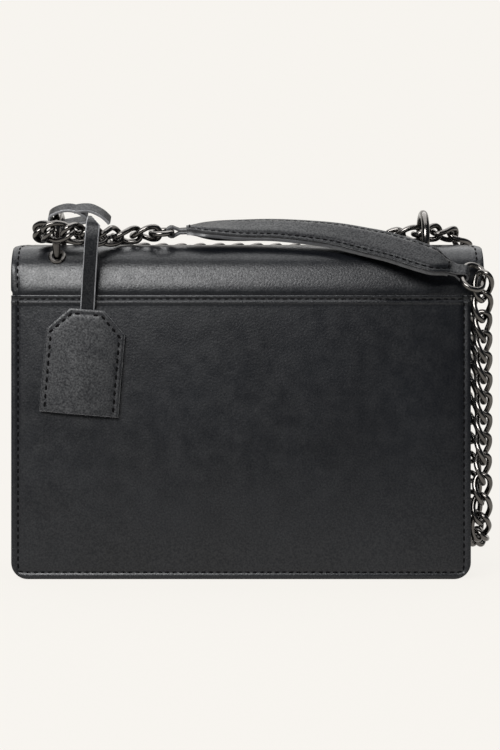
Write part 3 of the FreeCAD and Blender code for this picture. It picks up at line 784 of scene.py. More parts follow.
@dataclass
class Seam:
    """A row of stitches along a line on a surface."""

    line: list[Vector]
    normals: list[Vector] | Vector
    pitch: float = 3.5
    length: float = 2.5
    width: float = 0.80
    height: float = 0.40
    lift: float = 0.08

    def __post_init__(self) -> None:
        """Give every point a normal where one is given for the whole row."""
        if isinstance(self.normals, Vector):
            self.normals = [self.normals] * len(self.line)

    def places(self) -> list[Matrix]:
        """Find where each stitch lies.

        Returns:
            The placements of a stitch one millimetre in size.
        """
        found = []
        reach = self.pitch / 2.0
        travelled = 0.0
        for index in range(1, len(self.line)):
            start, end = self.line[index - 1], self.line[index]
            span = (end - start).length
            while span > 0.0 and travelled + span >= reach:
                share = (reach - travelled) / span
                normal = self.normals[index - 1].lerp(self.normals[index], share).normalized()
                along = (end - start).normalized()
                side = normal.cross(along).normalized()
                top = along.cross(side)
                turn = Matrix((along, side, top)).transposed().to_4x4()
                stretch = Matrix.Diagonal((self.length, self.width, self.height, 1.0))
                found.append(Matrix.Translation(start.lerp(end, share) + top * self.lift) @ turn @ stretch)
                reach += self.pitch
            travelled += span
        return found


def make_stitch() -> Piece:
    """Model one stitch, one millimetre long, wide and high, with drawn-in ends.

    Returns:
        The stitch, to be copied.
    """
    clear_selection()
    sideways = (0.0, math.pi / 2.0, 0.0)
    bpy.ops.mesh.primitive_uv_sphere_add(segments=6, ring_count=5, radius=0.5, rotation=sideways)
    stitch = bpy.context.object
    bpy.ops.object.transform_apply(location=False, rotation=True, scale=False)
    open_whole(stitch)
    bpy.ops.transform.resize(value=(1.0, 1.15, 1.0))
    bpy.ops.object.mode_set(mode="OBJECT")
    bpy.ops.object.shade_smooth()
    return stitch


def sew(name: str, seams: Sequence[Seam], thread: Material) -> Piece:
    """Copy a stitch along every seam and join the copies into one piece.

    Args:
        name: The piece's name.
        seams: The rows of stitches.
        thread: The thread's finish.

    Returns:
        The joined stitches.
    """
    stitch = make_stitch()
    copies = []
    for seam in seams:
        for place in seam.places():
            mesh = stitch.data.copy()
            mesh.transform(Matrix.Scale(MM, 4) @ place)
            copy = bpy.data.objects.new(name, mesh)
            bpy.context.scene.collection.objects.link(copy)
            copies.append(copy)
    take(stitch)
    bpy.ops.object.delete()
    clear_selection()
    for copy in copies:
        copy.select_set(True)
    bpy.context.view_layer.objects.active = copies[0]
    bpy.ops.object.join()
    row = bpy.context.object
    row.name = name
    row.data.name = name
    row.data.materials.clear()
    row.data.materials.append(thread)
    return row


def settle(piece: Piece, body: Body, slot: Slot, *nodes: str) -> None:
    """Let a finished piece ride on a body, and hide the nodes that it stands for.

    Args:
        piece: The finished piece.
        body: The body that it moves with.
        slot: Not used.
        nodes: The plain solids that it replaces.
    """
    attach(piece, body.value)
    if nodes:
        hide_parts(*nodes)
    LOG.info("%s rides on %s: %d faces", piece.name, body.value, len(piece.data.polygons))


def coat(name: str, finish: Material) -> None:
    """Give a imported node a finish, and leave it its shape.

    Args:
        name: The node's name.
        finish: Its finish.
    """
    for slot in frame["nodes"][name].material_slots:
        slot.material = finish
    LOG.info("%s keeps its packed shape", name)


# Body of the bag


@dataclass
class Panel:
    """An upright sheet of leather or cloth, crowned, with a sewn margin."""

    name: str
    face: float
    facing: Facing
    width: float
    low: float
    high: float
    thickness: float
    corner: float = 8.0
    crown: float = 0.8
    seam: float = 3.3
    seam_depth: float = 0.42
    crown_run_in: float = 14.0
    mouth_seam: float = 0.0
    mouth_dent_width: float = 0.7
    mouth_bow: float = 0.0
    mouth_bow_reach: float = 40.0
    mouth_ridge: float = 0.0
    mouth_ridge_step: float = 1.5
    seam_end: float = 2.0
    column_step: float = 9.0
    row_step: float = 8.0

    def place(self, across: float, height: float) -> Vector:
        """The point of the panel's outer face.

        Args:
            across: The place across, from the middle.
            height: The height above the bottom edge, before the corners are rounded.

        Returns:
            The point in millimetres.
        """
        half = self.width / 2.0
        total = self.high - self.low
        edge = min(half - abs(across), height)
        wide = 1.0 - (across / half) ** 2
        tall = 1.0 - (2.0 * height / total - 1.0) ** 2
        rise = self.crown * math.sqrt(max(0.0, wide * tall)) * min(1.0, edge / self.crown_run_in)
        rise -= self.seam_depth * dent(edge, self.seam, SEAM_DENT_WIDTH)
        rise -= EDGE_ROLL * rolled(edge, EDGE_ROLL_REACH)
        if self.mouth_seam:
            from_mouth = total - height
            ridge = self.mouth_seam + self.mouth_ridge_step
            rise -= self.seam_depth * dent(from_mouth, self.mouth_seam, self.mouth_dent_width)
            rise += self.mouth_ridge * dent(from_mouth, ridge, self.mouth_dent_width)
            rise += self.mouth_bow * wide * rolled(from_mouth, self.mouth_bow_reach)
        x, z = rounded(across, height, half, self.corner)
        return Vector((x, self.face + self.facing.value * rise, self.low + z))

    def build(self, face: Material, edge: Material) -> Piece:
        """Build the panel.

        Args:
            face: The finish of its faces.
            edge: The finish of its cut edges.

        Returns:
            The finished panel.
        """
        half = self.width / 2.0
        fine = (0.0, 0.5, 1.0, 1.7, 2.4, 2.9, 3.3, 3.7, 4.3, 5.2, 6.5, 8.0, 10.0, 13.0)
        columns = stations(-half, half, self.column_step, fine)
        rows = stations(0.0, self.high - self.low, self.row_step, fine)
        sheet = make_sheet(self.name, columns, rows, self.place, self.facing.normal)
        return finish_leather(sheet, face, edge, self.thickness, lit_edge=bool(self.mouth_seam))

    def build_sewn(self, face: Material, edge: Material, thread: Material, node: str, row: str) -> None:
        """Build the panel with the stitches of its margin and mouth, and let both ride on the bag.

        Args:
            face: The finish of its faces.
            edge: The finish of its cut edges.
            thread: The finish of its stitches.
            node: The plain solid that it replaces.
            row: The name of the stitches.
        """
        settle(self.build(face, edge), Body.BAG, Slot.LEATHER, node)
        settle(sew(row, [self.margin_seam(), self.mouth_row()], thread), Body.BAG, Slot.LEATHER)

    def margin_seam(self) -> Seam:
        """The stitches down one side, along the bottom and up the other side.

        Returns:
            The row of stitches.
        """
        half = self.width / 2.0 - self.seam
        top = self.high - self.low - self.seam_end
        return self.seam_through([(-half, top), (-half, self.seam), (half, self.seam), (half, top)])

    def mouth_row(self) -> Seam:
        """The stitches along the top edge.

        Returns:
            The row of stitches.
        """
        half = self.width / 2.0 - self.seam
        height = self.high - self.low - self.mouth_seam
        return self.seam_through([(-half, height), (half, height)])

    def seam_through(self, corners: Sequence[tuple[float, float]]) -> Seam:
        """Lead a row of stitches over the panel.

        Args:
            corners: The corners of its way, each a place across and a height.

        Returns:
            The row of stitches.
        """
        line = []
        for (x0, z0), (x1, z1) in zip(corners, corners[1:]):
            count = max(2, round(math.hypot(x1 - x0, z1 - z0)))
            line += [self.place(x, z) for x, z in zip(spread(x0, x1, count), spread(z0, z1, count))]
        return Seam(line, self.facing.normal)


@dataclass
class Shell:
    """The body of the bag: back, slip pocket, front, base and folding sides."""

    finishes: Finishes
    width: float = 220.0
    leather: float = 1.8
    pocket_face: float = -40.0
    back_face: float = -36.4
    front_face: float = 34.0
    back_inner: float = -34.6
    front_inner: float = 32.2
    pocket_height: float = 135.8
    back_height: float = 145.5
    front_height: float = 130.0
    corner: float = 8.0
    base_end: float = 14.0
    gusset_height: float = 125.0
    gusset_fold: float = 14.0
    gusset_hem_seam: float = 3.0
    gusset_softness: float = 0.10
    gusset_belly: float = 0.9
    gusset_seam_depth: float = 0.30
    gusset_seam_end: float = 2.0
    gusset_thinning: float = 0.2
    base_seam: float = 2.4
    running_gap: float = 0.05
    turned_inset: float = 0.5
    turned_columns: tuple[float, ...] = (0.0, 0.6, 4.0, 7.2)
    turned_below_mouth: float = 1.0
    turned_thinning: float = 0.1

    def build(self) -> None:
        """Build and settle every piece of the body."""
        self.build_pocket()
        self.build_back()
        self.build_front()
        self.build_base()
        for end in End:
            self.build_gusset(end)

    def build_pocket(self) -> None:
        """The slip pocket on the back, with its sewn margin and mouth."""
        panel = Panel(
            "pocket_leather", self.pocket_face, Facing.BACK, self.width, low=0.0, high=self.pocket_height,
            thickness=self.leather, corner=self.corner, crown=1.0, mouth_seam=1.8, mouth_bow=0.4,
            mouth_ridge=0.42,
        )
        # The pocket's cut edges take the grey edge finish, a painted highlight over the edge paint.
        panel.build_sewn(
            self.finishes.leather, self.finishes.pale_edge_and_highlight, self.finishes.thread, "back_pocket_panel",
            "pocket_stitches",
        )

    def build_back(self) -> None:
        """The back panel behind the slip pocket, and the turned margin between the two."""
        panel = Panel(
            "back_leather", self.back_face, Facing.BACK, self.width, low=0.0, high=self.back_height,
            thickness=self.leather, corner=self.corner, crown=0.0, seam_depth=0.0,
        )
        sheet = panel.build(self.finishes.leather, self.finishes.edge)
        settle(sheet, Body.BAG, Slot.LEATHER, "back_panel")
        for end in End:
            self.build_margin(end)

    def build_margin(self, end: End) -> None:
        """The turned edge of the pocket at one side, between the pocket leather and the back panel.

        Args:
            end: Which side of the bag.
        """
        outer = self.width / 2.0 - self.turned_inset
        face = self.pocket_face + self.leather + self.running_gap

        def place(column: float, row: float) -> Vector:
            """A point of the turned edge."""
            return Vector((end.value * (outer - column), face, row))

        top = self.pocket_height - self.turned_below_mouth
        rows = stations(self.corner, top, step=12.0, fine=(0.0, 1.0))
        name = f"pocket_turned_edge_{end.word}"
        sheet = make_sheet(name, self.turned_columns, rows, place, Facing.BACK.normal)
        thickness = self.leather - self.turned_thinning
        finish_leather(sheet, self.finishes.leather, self.finishes.edge, thickness)
        settle(sheet, Body.BAG, Slot.LEATHER)

    def build_front(self) -> None:
        """The front panel under the flap."""
        panel = Panel(
            "front_leather", self.front_face, Facing.FRONT, self.width, low=0.0, high=self.front_height,
            thickness=self.leather, corner=self.corner, crown=0.5, mouth_seam=2.6,
        )
        panel.build_sewn(
            self.finishes.leather, self.finishes.edge, self.finishes.thread, "front_panel", "front_stitches"
        )

    def base_profile(self, travel: float) -> tuple[float, float]:
        """The place in X and Z on the outside of the base, at a travel from its middle.

        Args:
            travel: The distance along the leather, negative to the left.

        Returns:
            The place across and the height.
        """
        flat = self.width / 2.0 - self.corner
        quarter = self.corner * math.pi / 2.0
        over = abs(travel) - flat
        if over <= 0.0:
            return travel, 0.0
        if over <= quarter:
            angle = over / self.corner
            across = flat + self.corner * math.sin(angle)
            return math.copysign(across, travel), self.corner * (1.0 - math.cos(angle))
        return math.copysign(self.width / 2.0, travel), self.corner + over - quarter

    def build_base(self) -> None:
        """The base leather, turned up at both ends over the sides."""
        reach = self.width / 2.0 - self.corner + self.corner * math.pi / 2.0 + self.base_end - self.corner

        def place(column: float, row: float) -> Vector:
            """A point of the base's outer face."""
            across, height = self.base_profile(column)
            return Vector((across, row, height))

        fine = (0.0, 0.8, 1.8, 3.0, 4.5, 6.0, 7.5, 9.0, 10.5, 12.0, 13.5, 15.0, 16.5, 18.0, 20.0)
        columns = stations(-reach, reach, step=12.0, fine=fine)
        back, front = self.back_inner + self.running_gap, self.front_inner - self.running_gap
        rows = stations(back, front, step=8.0, fine=(0.0, 1.0, 3.0))
        sheet = make_sheet("base_leather", columns, rows, place, Vector((0.0, 0.0, -1.0)))
        finish_leather(sheet, self.finishes.leather, self.finishes.edge, self.leather)
        settle(sheet, Body.BAG, Slot.LEATHER, "base_panel")
        seams = []
        for end in End:
            travel = end.value * (reach - self.base_seam)
            seams.append(Seam([place(travel, row) for row in rows], end.normal))
        settle(sew("base_stitches", seams, self.finishes.thread), Body.BAG, Slot.LEATHER)

    def build_gusset(self, end: End) -> None:
        """A side that folds inwards, more towards the top, with a sewn hem.

        Args:
            end: Which side of the bag.
        """
        face = self.width / 2.0 - self.leather
        depth = self.front_inner - self.back_inner
        soft = self.gusset_softness
        widest = math.hypot(1.0, soft)

        def place(column: float, row: float) -> Vector:
            """A point of the side's outer face.

            Args:
                column: The distance in Y from the side's back edge.
                row: The height.

            Returns:
                The point in millimetres.
            """
            share = 2.0 * column / depth - 1.0
            crease = (widest - math.hypot(share, soft)) / (widest - soft)
            lift = max(0.0, (row - self.base_end) / (self.gusset_height - self.base_end))
            belly = self.gusset_belly * math.sin(math.pi * lift) * math.sin(math.pi * abs(share))
            hem = dent(self.gusset_height - row, self.gusset_hem_seam, SEAM_DENT_WIDTH)
            pull = self.gusset_seam_depth * hem
            inset = self.gusset_fold * lift * crease - belly * (1.0 - crease) + pull
            return Vector((end.value * (face - inset), self.back_inner + column, row))

        gap = self.running_gap
        columns = stations(gap, depth - gap, step=2.6, fine=(0.0, 1.0, 2.5, 4.5))
        fine = (0.0, 0.7, 1.6, 2.4, 3.0, 3.6, 4.5, 6.0)
        rows = stations(self.corner, self.gusset_height, step=6.0, fine=fine, both=False)
        sheet = make_sheet(f"gusset_leather_{end.word}", columns, rows, place, end.normal)
        thickness = self.leather - self.gusset_thinning
        finish_leather(sheet, self.finishes.leather, self.finishes.edge, thickness)
        settle(sheet, Body.BAG, Slot.LEATHER, f"{end.word}_gusset")
        height = self.gusset_height - self.gusset_hem_seam
        stops = stations(self.gusset_seam_end, depth - self.gusset_seam_end, step=1.0)
        seam = Seam([place(column, height) for column in stops], end.normal)
        row = sew(f"gusset_stitches_{end.word}", [seam], self.finishes.thread)
        settle(row, Body.BAG, Slot.LEATHER)


# Top and flap


@dataclass
class TopSkin:
    """The one leather that rises behind the pocket, goes over the top and falls as the flap."""

    finishes: Finishes
    back_face: float = -38.2
    front_face: float = 40.0
    shoulder: float = 16.0
    shoulder_height: float = 145.5
    front_shoulder: float = 14.0
    slope: float = 10.0
    low: float = 135.9
    hem: float = 45.0
    leather: float = 1.8
    lining: float = 0.9
    lining_inset: float = 3.0
    lining_gap: float = 0.05
    lining_width: float = 200.0
    wide: tuple[float, float] = (-110.4, 116.6)
    narrow: tuple[float, float] = (-99.9, 106.1)
    narrowing: tuple[float, float] = (-30.0, -17.0)
    hem_corner: float = 22.0
    low_corner: float = 3.0
    seam: float = 3.2
    seam_depth: float = 0.3
    flap_crown: float = 1.4
    swell: float = 1.3
    swell_height: float = 138.2
    swell_reach: float = 11.0
    swell_run_in: float = 9.0
    bend_before: float = 1.5
    bend_after: float = 14.0

    def __post_init__(self) -> None:
        """Work out the lengths of the straight and curved stretches of the profile."""
        lean = math.radians(self.slope)
        self.along = Vector((0.0, math.cos(lean), -math.sin(lean)))
        self.up = Vector((0.0, math.sin(lean), math.cos(lean)))
        self.back_centre = Vector((0.0, self.back_face + self.shoulder, self.shoulder_height))
        self.crest = self.back_centre + self.up * self.shoulder
        inner = self.crest - self.up * self.front_shoulder
        run = (self.front_face - self.front_shoulder - inner.y) / self.along.y
        self.front_centre = inner + self.along * run
        self.spans = [
            self.shoulder_height - self.low, self.shoulder * (math.pi / 2.0 + lean), run,
            self.front_shoulder * (math.pi / 2.0 - lean), self.front_centre.z - self.hem,
        ]
        self.length = sum(self.spans)
        hinge = next(joint for joint in frame["joints"] if joint["name"] == "flap_hinge")
        self.hinge = Vector(hinge["pos_m"])

    def profile(self, travel: float) -> tuple[Vector, Vector]:
        """The point and the outward normal of the outer face in Y and Z.

        Args:
            travel: The distance along the leather from its edge behind the pocket.

        Returns:
            The point and the normal.
        """
        lean = math.radians(self.slope)
        if travel <= self.spans[0]:
            return Vector((0.0, self.back_face, self.low + travel)), Vector((0.0, -1.0, 0.0))
        travel -= self.spans[0]
        if travel <= self.spans[1]:
            angle = math.pi - travel / self.shoulder
            normal = Vector((0.0, math.cos(angle), math.sin(angle)))
            return self.back_centre + normal * self.shoulder, normal
        travel -= self.spans[1]
        if travel <= self.spans[2]:
            return self.crest + self.along * travel, self.up.copy()
        travel -= self.spans[2]
        if travel <= self.spans[3]:
            angle = math.pi / 2.0 - lean - travel / self.front_shoulder
            normal = Vector((0.0, math.cos(angle), math.sin(angle)))
            return self.front_centre + normal * self.front_shoulder, normal
        travel -= self.spans[3]
        return Vector((0.0, self.front_face, self.front_centre.z - travel)), Vector((0.0, 1.0, 0.0))

    def edges(self, depth: float) -> tuple[float, float]:
        """The left and right edge of the leather.

        Args:
            depth: The place in Y.

        Returns:
            Both places in X.
        """
        share = smoothstep((depth - self.narrowing[0]) / (self.narrowing[1] - self.narrowing[0]))
        left = self.wide[0] + (self.narrow[0] - self.wide[0]) * share
        right = self.wide[1] + (self.narrow[1] - self.wide[1]) * share
        return left, right

    def place(
        self, column: float, travel: float, inset: float = 0.0, sink: float = 0.0, sewn: bool = True
    ) -> Vector:
        """The point of a layer of the skin.

        Args:
            column: The place across, from -1 at the left edge to 1 at the right edge.
            travel: The distance along the leather.
            inset: How far the layer's edges lie inside the leather's edges.
            sink: How far the layer lies below the outer face.
            sewn: Whether its seams dent it.

        Returns:
            The point in millimetres.
        """
        left, right = self.edges(self.profile(travel)[0].y)
        half = (right - left) / 2.0 - inset
        across = column * half
        from_hem = self.length - inset - travel
        if from_hem < self.hem_corner:
            across, from_hem = rounded(across, max(0.0, from_hem), half, self.hem_corner)
            travel = self.length - inset - from_hem
        elif travel < self.low_corner:
            across, travel = rounded(across, travel, half, self.low_corner)
        centre, normal = self.profile(travel)
        edge = min((1.0 - abs(column)) * half, max(0.0, self.length - travel))
        rise = -sink
        if sewn:
            rise -= self.seam_depth * dent(edge, self.seam, SEAM_DENT_WIDTH)
            rise -= EDGE_ROLL * rolled(edge, EDGE_ROLL_REACH)
        top = sum(self.spans[:3])
        front = max(0.0, travel - top) / (self.length - top)
        rise += self.flap_crown * math.sin(math.pi * front) * (1.0 - column ** 2)
        above = (centre.z - self.swell_height) / self.swell_reach
        if centre.y < self.crest.y and abs(above) < 1.0:
            run_in = min(1.0, edge / self.swell_run_in)
            rise += self.swell * math.cos(above * math.pi / 2.0) ** 2 * run_in
        return centre + normal * rise + Vector(((left + right) / 2.0 + across, 0.0, 0.0))

    def bend(self, piece: Piece, slot: Slot, *nodes: str) -> None:
        """Bake a piece's placement into its mesh, and hide the plain solids that it replaces.

        Args:
            piece: The finished piece.
            slot: Not used.
            nodes: The plain solids that it replaces.
        """
        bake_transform(piece)
        if nodes:
            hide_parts(*nodes)
        LOG.info("%s bends with the flap: %d faces", piece.name, len(piece.data.polygons))

    def build(self) -> None:
        """Build the leather, its lining and its seams."""
        half = (self.wide[1] - self.wide[0]) / 2.0
        fine = (0.0, 0.5, 1.0, 1.7, 2.4, 2.8, 3.2, 3.6, 4.2, 5.2, 6.5, 8.5, 11.0, 15.0)
        columns = shares(half, step=9.0, fine=fine)
        rows = stations(0.0, self.length, step=2.2, fine=fine, both=False)
        skin = make_sheet("top_and_flap_leather", columns, rows, self.place, Vector((0.0, 0.1, 1.0)))
        # The skin's cut edges take the grey edge finish, a painted highlight over the edge paint.
        finish_leather(skin, self.finishes.leather, self.finishes.pale_edge_and_highlight, self.leather)
        self.bend(skin, Slot.LEATHER, "top_yoke", "flap_panel")
        self.build_lining()
        self.build_seams()

    def build_lining(self) -> None:
        """The cloth under the flap."""
        bend_line = sum(self.spans[:2]) + (self.hinge.y / MM - self.crest.y) / self.along.y
        start = bend_line + self.lining_inset
        end = self.length - self.lining_inset
        sink = self.leather + self.lining_gap
        place = partial(self.place, inset=self.lining_inset, sink=sink, sewn=False)
        columns = shares(self.lining_width / 2.0, step=10.0, fine=(0.0, 2.0, 5.0, 9.0))
        rows = stations(start, end, step=3.0, fine=(0.0, 1.0, 3.0, 6.0, 10.0, 15.0), both=False)
        cloth = make_sheet("flap_lining_cloth", columns, rows, place, Vector((0.0, 0.7, 0.7)))
        finish_leather(cloth, self.finishes.lining, self.finishes.lining, self.lining, round_over=0.2)
        self.bend(cloth, Slot.LINING, "flap_lining")

    def build_seams(self) -> None:
        """The stitches down both sides and along the hem."""
        hem = self.length - self.seam
        travels = stations(self.low_corner, hem, step=1.0)
        route = [(-1.0, travel) for travel in travels]
        route += [(share, hem) for share in stations(-1.0, 1.0, step=0.01)]
        route += [(1.0, travel) for travel in reversed(travels)]
        line = []
        normals = []
        for share, travel in route:
            centre, normal = self.profile(travel)
            left, right = self.edges(centre.y)
            line.append(self.place(share * (1.0 - 2.0 * self.seam / (right - left)), travel))
            normals.append(normal)
        row = sew("top_and_flap_stitches", [Seam(line, normals)], self.finishes.thread)
        self.bend(row, Slot.LEATHER)


# Inside


@dataclass
class Inside:
    """Linings, divider, slip pocket and base board."""

    finishes: Finishes
    shell: Shell
    width: float = 208.8
    low: float = 8.0
    back_lining_face: float = -34.58
    front_lining_face: float = 32.18
    lining: float = 1.0
    lining_thinning: float = 0.1
    pocket_width: float = 130.0
    pocket_low: float = 48.0
    pocket_high: float = 118.0
    pocket_face: float = -33.58
    pocket_thickness: float = 1.2
    divider_half: float = 100.0
    divider_thickness: float = 1.8
    divider_seam: float = 3.0
    divider_seam_depth: float = 0.2
    divider_seam_share: float = 0.97
    divider_dip: float = 1.6
    dip_start: float = 90.0
    dip_reach: float = 22.0
    foot_inset: float = 3.0
    foot_reach: float = 8.0

    def build(self) -> None:
        """Build and settle every piece of the inside."""
        for name, face, facing, high in (
            ("back_lining", self.back_lining_face + self.lining, Facing.FRONT, self.shell.back_height),
            ("front_lining", self.front_lining_face - self.lining, Facing.BACK, self.shell.front_height),
        ):
            panel = Panel(
                f"{name}_cloth", face, facing, self.width, self.low, high, self.lining - self.lining_thinning,
                corner=2.0, crown=0.0, seam_depth=0.0, mouth_seam=3.0,
            )
            sheet = panel.build(self.finishes.lining, self.finishes.lining)
            settle(sheet, Body.BAG, Slot.LINING, name)
        self.build_slip_pocket()
        self.build_divider()
        coat("base_board", self.finishes.board)

    def build_slip_pocket(self) -> None:
        """The small pocket on the back lining, with its seams."""
        panel = Panel(
            "slip_pocket_leather", self.pocket_face + self.pocket_thickness, Facing.FRONT, self.pocket_width,
            self.pocket_low, self.pocket_high, self.pocket_thickness, corner=5.0, crown=0.0, seam_depth=0.15,
            mouth_seam=2.4,
        )
        panel.build_sewn(
            self.finishes.strap_leather, self.finishes.edge, self.finishes.thread, "inner_slip_pocket",
            "slip_pocket_stitches",
        )

    def build_divider(self) -> None:
        """The leather between the two compartments, narrower towards the top as the sides fold in."""
        lowest, highest = (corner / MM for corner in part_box("divider_panel"))
        shoulder = self.shell.base_end
        wide = highest.x
        fold_height = self.shell.gusset_height - shoulder
        narrow = wide - self.shell.gusset_fold * (highest.z - shoulder) / fold_height

        def place(column: float, row: float) -> Vector:
            """A point of the divider's front face.

            Args:
                column: The place across, from -1 to 1.
                row: The height, before the top dips.

            Returns:
                The point in millimetres.
            """
            share = max(0.0, (row - shoulder) / (highest.z - shoulder))
            foot = self.foot_inset * rolled(row - lowest.z, self.foot_reach)
            half = wide + (narrow - wide) * share - foot
            sag = max(0.0, (row - self.dip_start) / self.dip_reach) ** 2
            dip = self.divider_dip * (1.0 - column ** 2) * sag
            hem = dent(highest.z - row, self.divider_seam, SEAM_DENT_WIDTH)
            return Vector((column * half, highest.y - self.divider_seam_depth * hem, row - dip))

        columns = shares(self.divider_half, step=8.0, fine=(0.0, 1.0, 3.0))
        rows = stations(lowest.z, highest.z, step=6.0, fine=(0.0, 0.8, 1.6, 2.4, 3.0, 3.6, 4.5, 6.0))
        sheet = make_sheet("divider_leather", columns, rows, place, Facing.FRONT.normal)
        finish_leather(sheet, self.finishes.strap_leather, self.finishes.edge, self.divider_thickness)
        settle(sheet, Body.BAG, Slot.LEATHER, "divider_panel")
        height = highest.z - self.divider_seam
        stops = stations(-self.divider_seam_share, self.divider_seam_share, step=0.01)
        seam = Seam([place(share, height) for share in stops], Facing.FRONT.normal)
        settle(sew("divider_stitches", [seam], self.finishes.thread), Body.BAG, Slot.LEATHER)


# Handle


@dataclass
class ShoulderHandle:
    """The padded handle that lies over the top, with a folded tab at each end.

    Each stop of its route is a point of its middle line and the handle's lean there in degrees. Each stop
    of a tab's flat part is a reach beyond the handle's end and a level over its middle line.
    """

    finishes: Finishes
    route: tuple[tuple[float, float, float, float], ...] = (
        (-26.55, -27.6, 167.9, 12.0), (-14.51, -27.0, 168.6, 24.0), (0.53, -26.5, 168.4, 33.0),
        (18.59, -27.5, 168.2, 36.0), (42.48, -31.0, 165.7, 42.0), (58.59, -36.0, 162.1, 46.0),
        (72.57, -42.4, 158.1, 47.0), (88.5, -49.2, 152.1, 48.0), (98.5, -49.0, 148.3, 48.0),
    )
    width: float = 17.0
    rim: float = 1.7
    rim_gap: float = 0.02
    padding: float = 0.9
    left_fill: float = 2.3
    left_reach: float = 75.0
    left_taper: float = 16.0
    under_share: float = 0.4
    swell_start: float = 0.4
    swell_reach: float = 3.2
    seam: float = 2.0
    seam_depth: float = 0.22
    seam_dent_width: float = 0.7
    edge_roll_reach: float = 0.9
    end_taper: float = 9.0
    end_share: float = 0.56
    tab_width: float = 6.6
    tab_flare: float = 1.6
    tab_flare_reach: float = 4.0
    tab_skin: float = 1.3
    tab_flat: tuple[tuple[float, float], ...] = ((-4.0, 0.72), (0.0, 0.68), (3.4, 0.68))
    tab_turn: int = 130
    tab_turn_step: int = 26
    neck: float = 7.25
    bar_reach: float = 2.3
    steps: int = 10
    end_rows: int = 2

    def __post_init__(self) -> None:
        """Work out the handle's middle line, its directions and the distance along it."""
        places = [Vector(stop[:3]) for stop in self.route]
        tilts = [Vector((stop[3], 0.0, 0.0)) for stop in self.route]
        self.line = smooth_line(places, self.steps)
        self.headings = []
        self.acrosses = []
        self.normals = []
        self.travel = [0.0]
        for index, tilt in enumerate(smooth_line(tilts, self.steps)):
            before = self.line[max(index - 1, 0)]
            after = self.line[min(index + 1, len(self.line) - 1)]
            heading = (after - before).normalized()
            lean = math.radians(tilt.x)
            across = Vector((0.0, math.cos(lean), math.sin(lean)))
            across = (across - heading * across.dot(heading)).normalized()
            self.headings.append(heading)
            self.acrosses.append(across)
            self.normals.append(heading.cross(across))
            if index:
                self.travel.append(self.travel[-1] + (self.line[index] - self.line[index - 1]).length)

    def half_width(self, index: int) -> float:
        """Half of the handle's width, drawn in towards the ends.

        Args:
            index: The number of the point along the line.

        Returns:
            The half width in millimetres.
        """
        from_end = min(self.travel[index], self.travel[-1] - self.travel[index])
        share = self.end_share + (1.0 - self.end_share) * smoothstep(from_end / self.end_taper)
        return self.width / 2.0 * share

    def top(self, column: float, index: int, side: float) -> Vector:
        """The point of one outer face of the handle.

        Args:
            column: The place across, from -1 to 1.
            index: The number of the point along the line.
            side: 1 for the upper face, -1 for the lower face.

        Returns:
            The point in millimetres.
        """
        half = self.half_width(index)
        edge = (1.0 - abs(column)) * half
        fill = self.padding
        if side < 0.0:
            start = self.travel[index]
            fuller = smoothstep(start / self.left_taper) * (1.0 - smoothstep(start / self.left_reach))
            fill = self.under_share * self.padding + self.left_fill * fuller
        swell = smoothstep((edge - self.seam * self.swell_start) / self.swell_reach) * fill
        swell -= self.seam_depth * dent(edge, self.seam, self.seam_dent_width)
        swell -= EDGE_ROLL * rolled(edge, self.edge_roll_reach)
        level = side * (self.rim + swell)
        return self.line[index] + self.acrosses[index] * (column * half) + self.normals[index] * level

    def build(self) -> None:
        """Build the padded top, the base, the stitches and both tabs."""
        fine = (0.0, 0.4, 0.9, 1.4, 2.0, 2.6, 3.2, 4.0, 5.0)
        columns = shares(self.width / 2.0, step=1.6, fine=fine)
        for name, side, nodes in (
            ("handle_top_leather", 1.0, ("handle_top", "handle_core")),
            ("handle_base_leather", -1.0, ("handle_base",)),
        ):
            place = partial(self.top, side=side)
            outward = self.normals[len(self.normals) // 2] * side
            sheet = make_sheet(name, columns, range(len(self.line)), place, outward)
            finish_leather(sheet, self.finishes.strap_leather, self.finishes.edge, self.rim - self.rim_gap)
            settle(sheet, Body.HANDLE, Slot.LEATHER, *nodes)
        self.build_seams()
        self.build_tab(End.LEFT, 0)
        self.build_tab(End.RIGHT, len(self.line) - 1)

    def build_seams(self) -> None:
        """The stitches along both edges and across both ends of the upper face."""
        seams = []
        first, last = self.end_rows, len(self.line) - 1 - self.end_rows
        for side in (-1.0, 1.0):
            line = []
            for index in range(first, last + 1):
                column = side * (1.0 - self.seam / self.half_width(index))
                line.append(self.top(column, index, 1.0))
            seams.append(Seam(line, self.normals[first:last + 1], pitch=3.4, length=2.4))
        for index in (first, last):
            reach = 1.0 - self.seam / self.half_width(index)
            line = [self.top(share * reach, index, 1.0) for share in stations(-1.0, 1.0, step=0.1)]
            seams.append(Seam(line, self.normals[index], pitch=2.6, length=1.9))
        row = sew("handle_stitches", seams, self.finishes.thread)
        settle(row, Body.HANDLE, Slot.LEATHER)

    def build_tab(self, end: End, index: int) -> None:
        """The narrow end of the handle, folded round its ring.

        Args:
            end: Which end of the handle.
            index: The number of the end's point along the line.
        """
        outward = self.headings[index] * end.value
        normal = self.normals[index]
        base = self.line[index]
        path = list(self.tab_flat)
        for angle in range(self.tab_turn, -self.tab_turn - 1, -self.tab_turn_step):
            turn = math.radians(angle)
            path.append((self.neck + self.bar_reach * math.cos(turn), self.bar_reach * math.sin(turn)))
        path += [(reach, -level) for reach, level in reversed(self.tab_flat)]
        line = [base + outward * reach + normal * level for reach, level in path]
        flares = [max(0.0, 1.0 - reach / self.tab_flare_reach) for reach, _ in path]
        widths = [self.tab_width + self.tab_flare * flare for flare in flares]
        across = [self.acrosses[index]] * len(line)
        strip = make_strip(f"handle_tab_leather_{end.word}", line, across, widths, outward)
        finish_leather(strip, self.finishes.strap_leather, self.finishes.edge, self.tab_skin, centred=True)
        settle(strip, Body.HANDLE, Slot.LEATHER, f"handle_{end.word}_tab")


# Hang tag


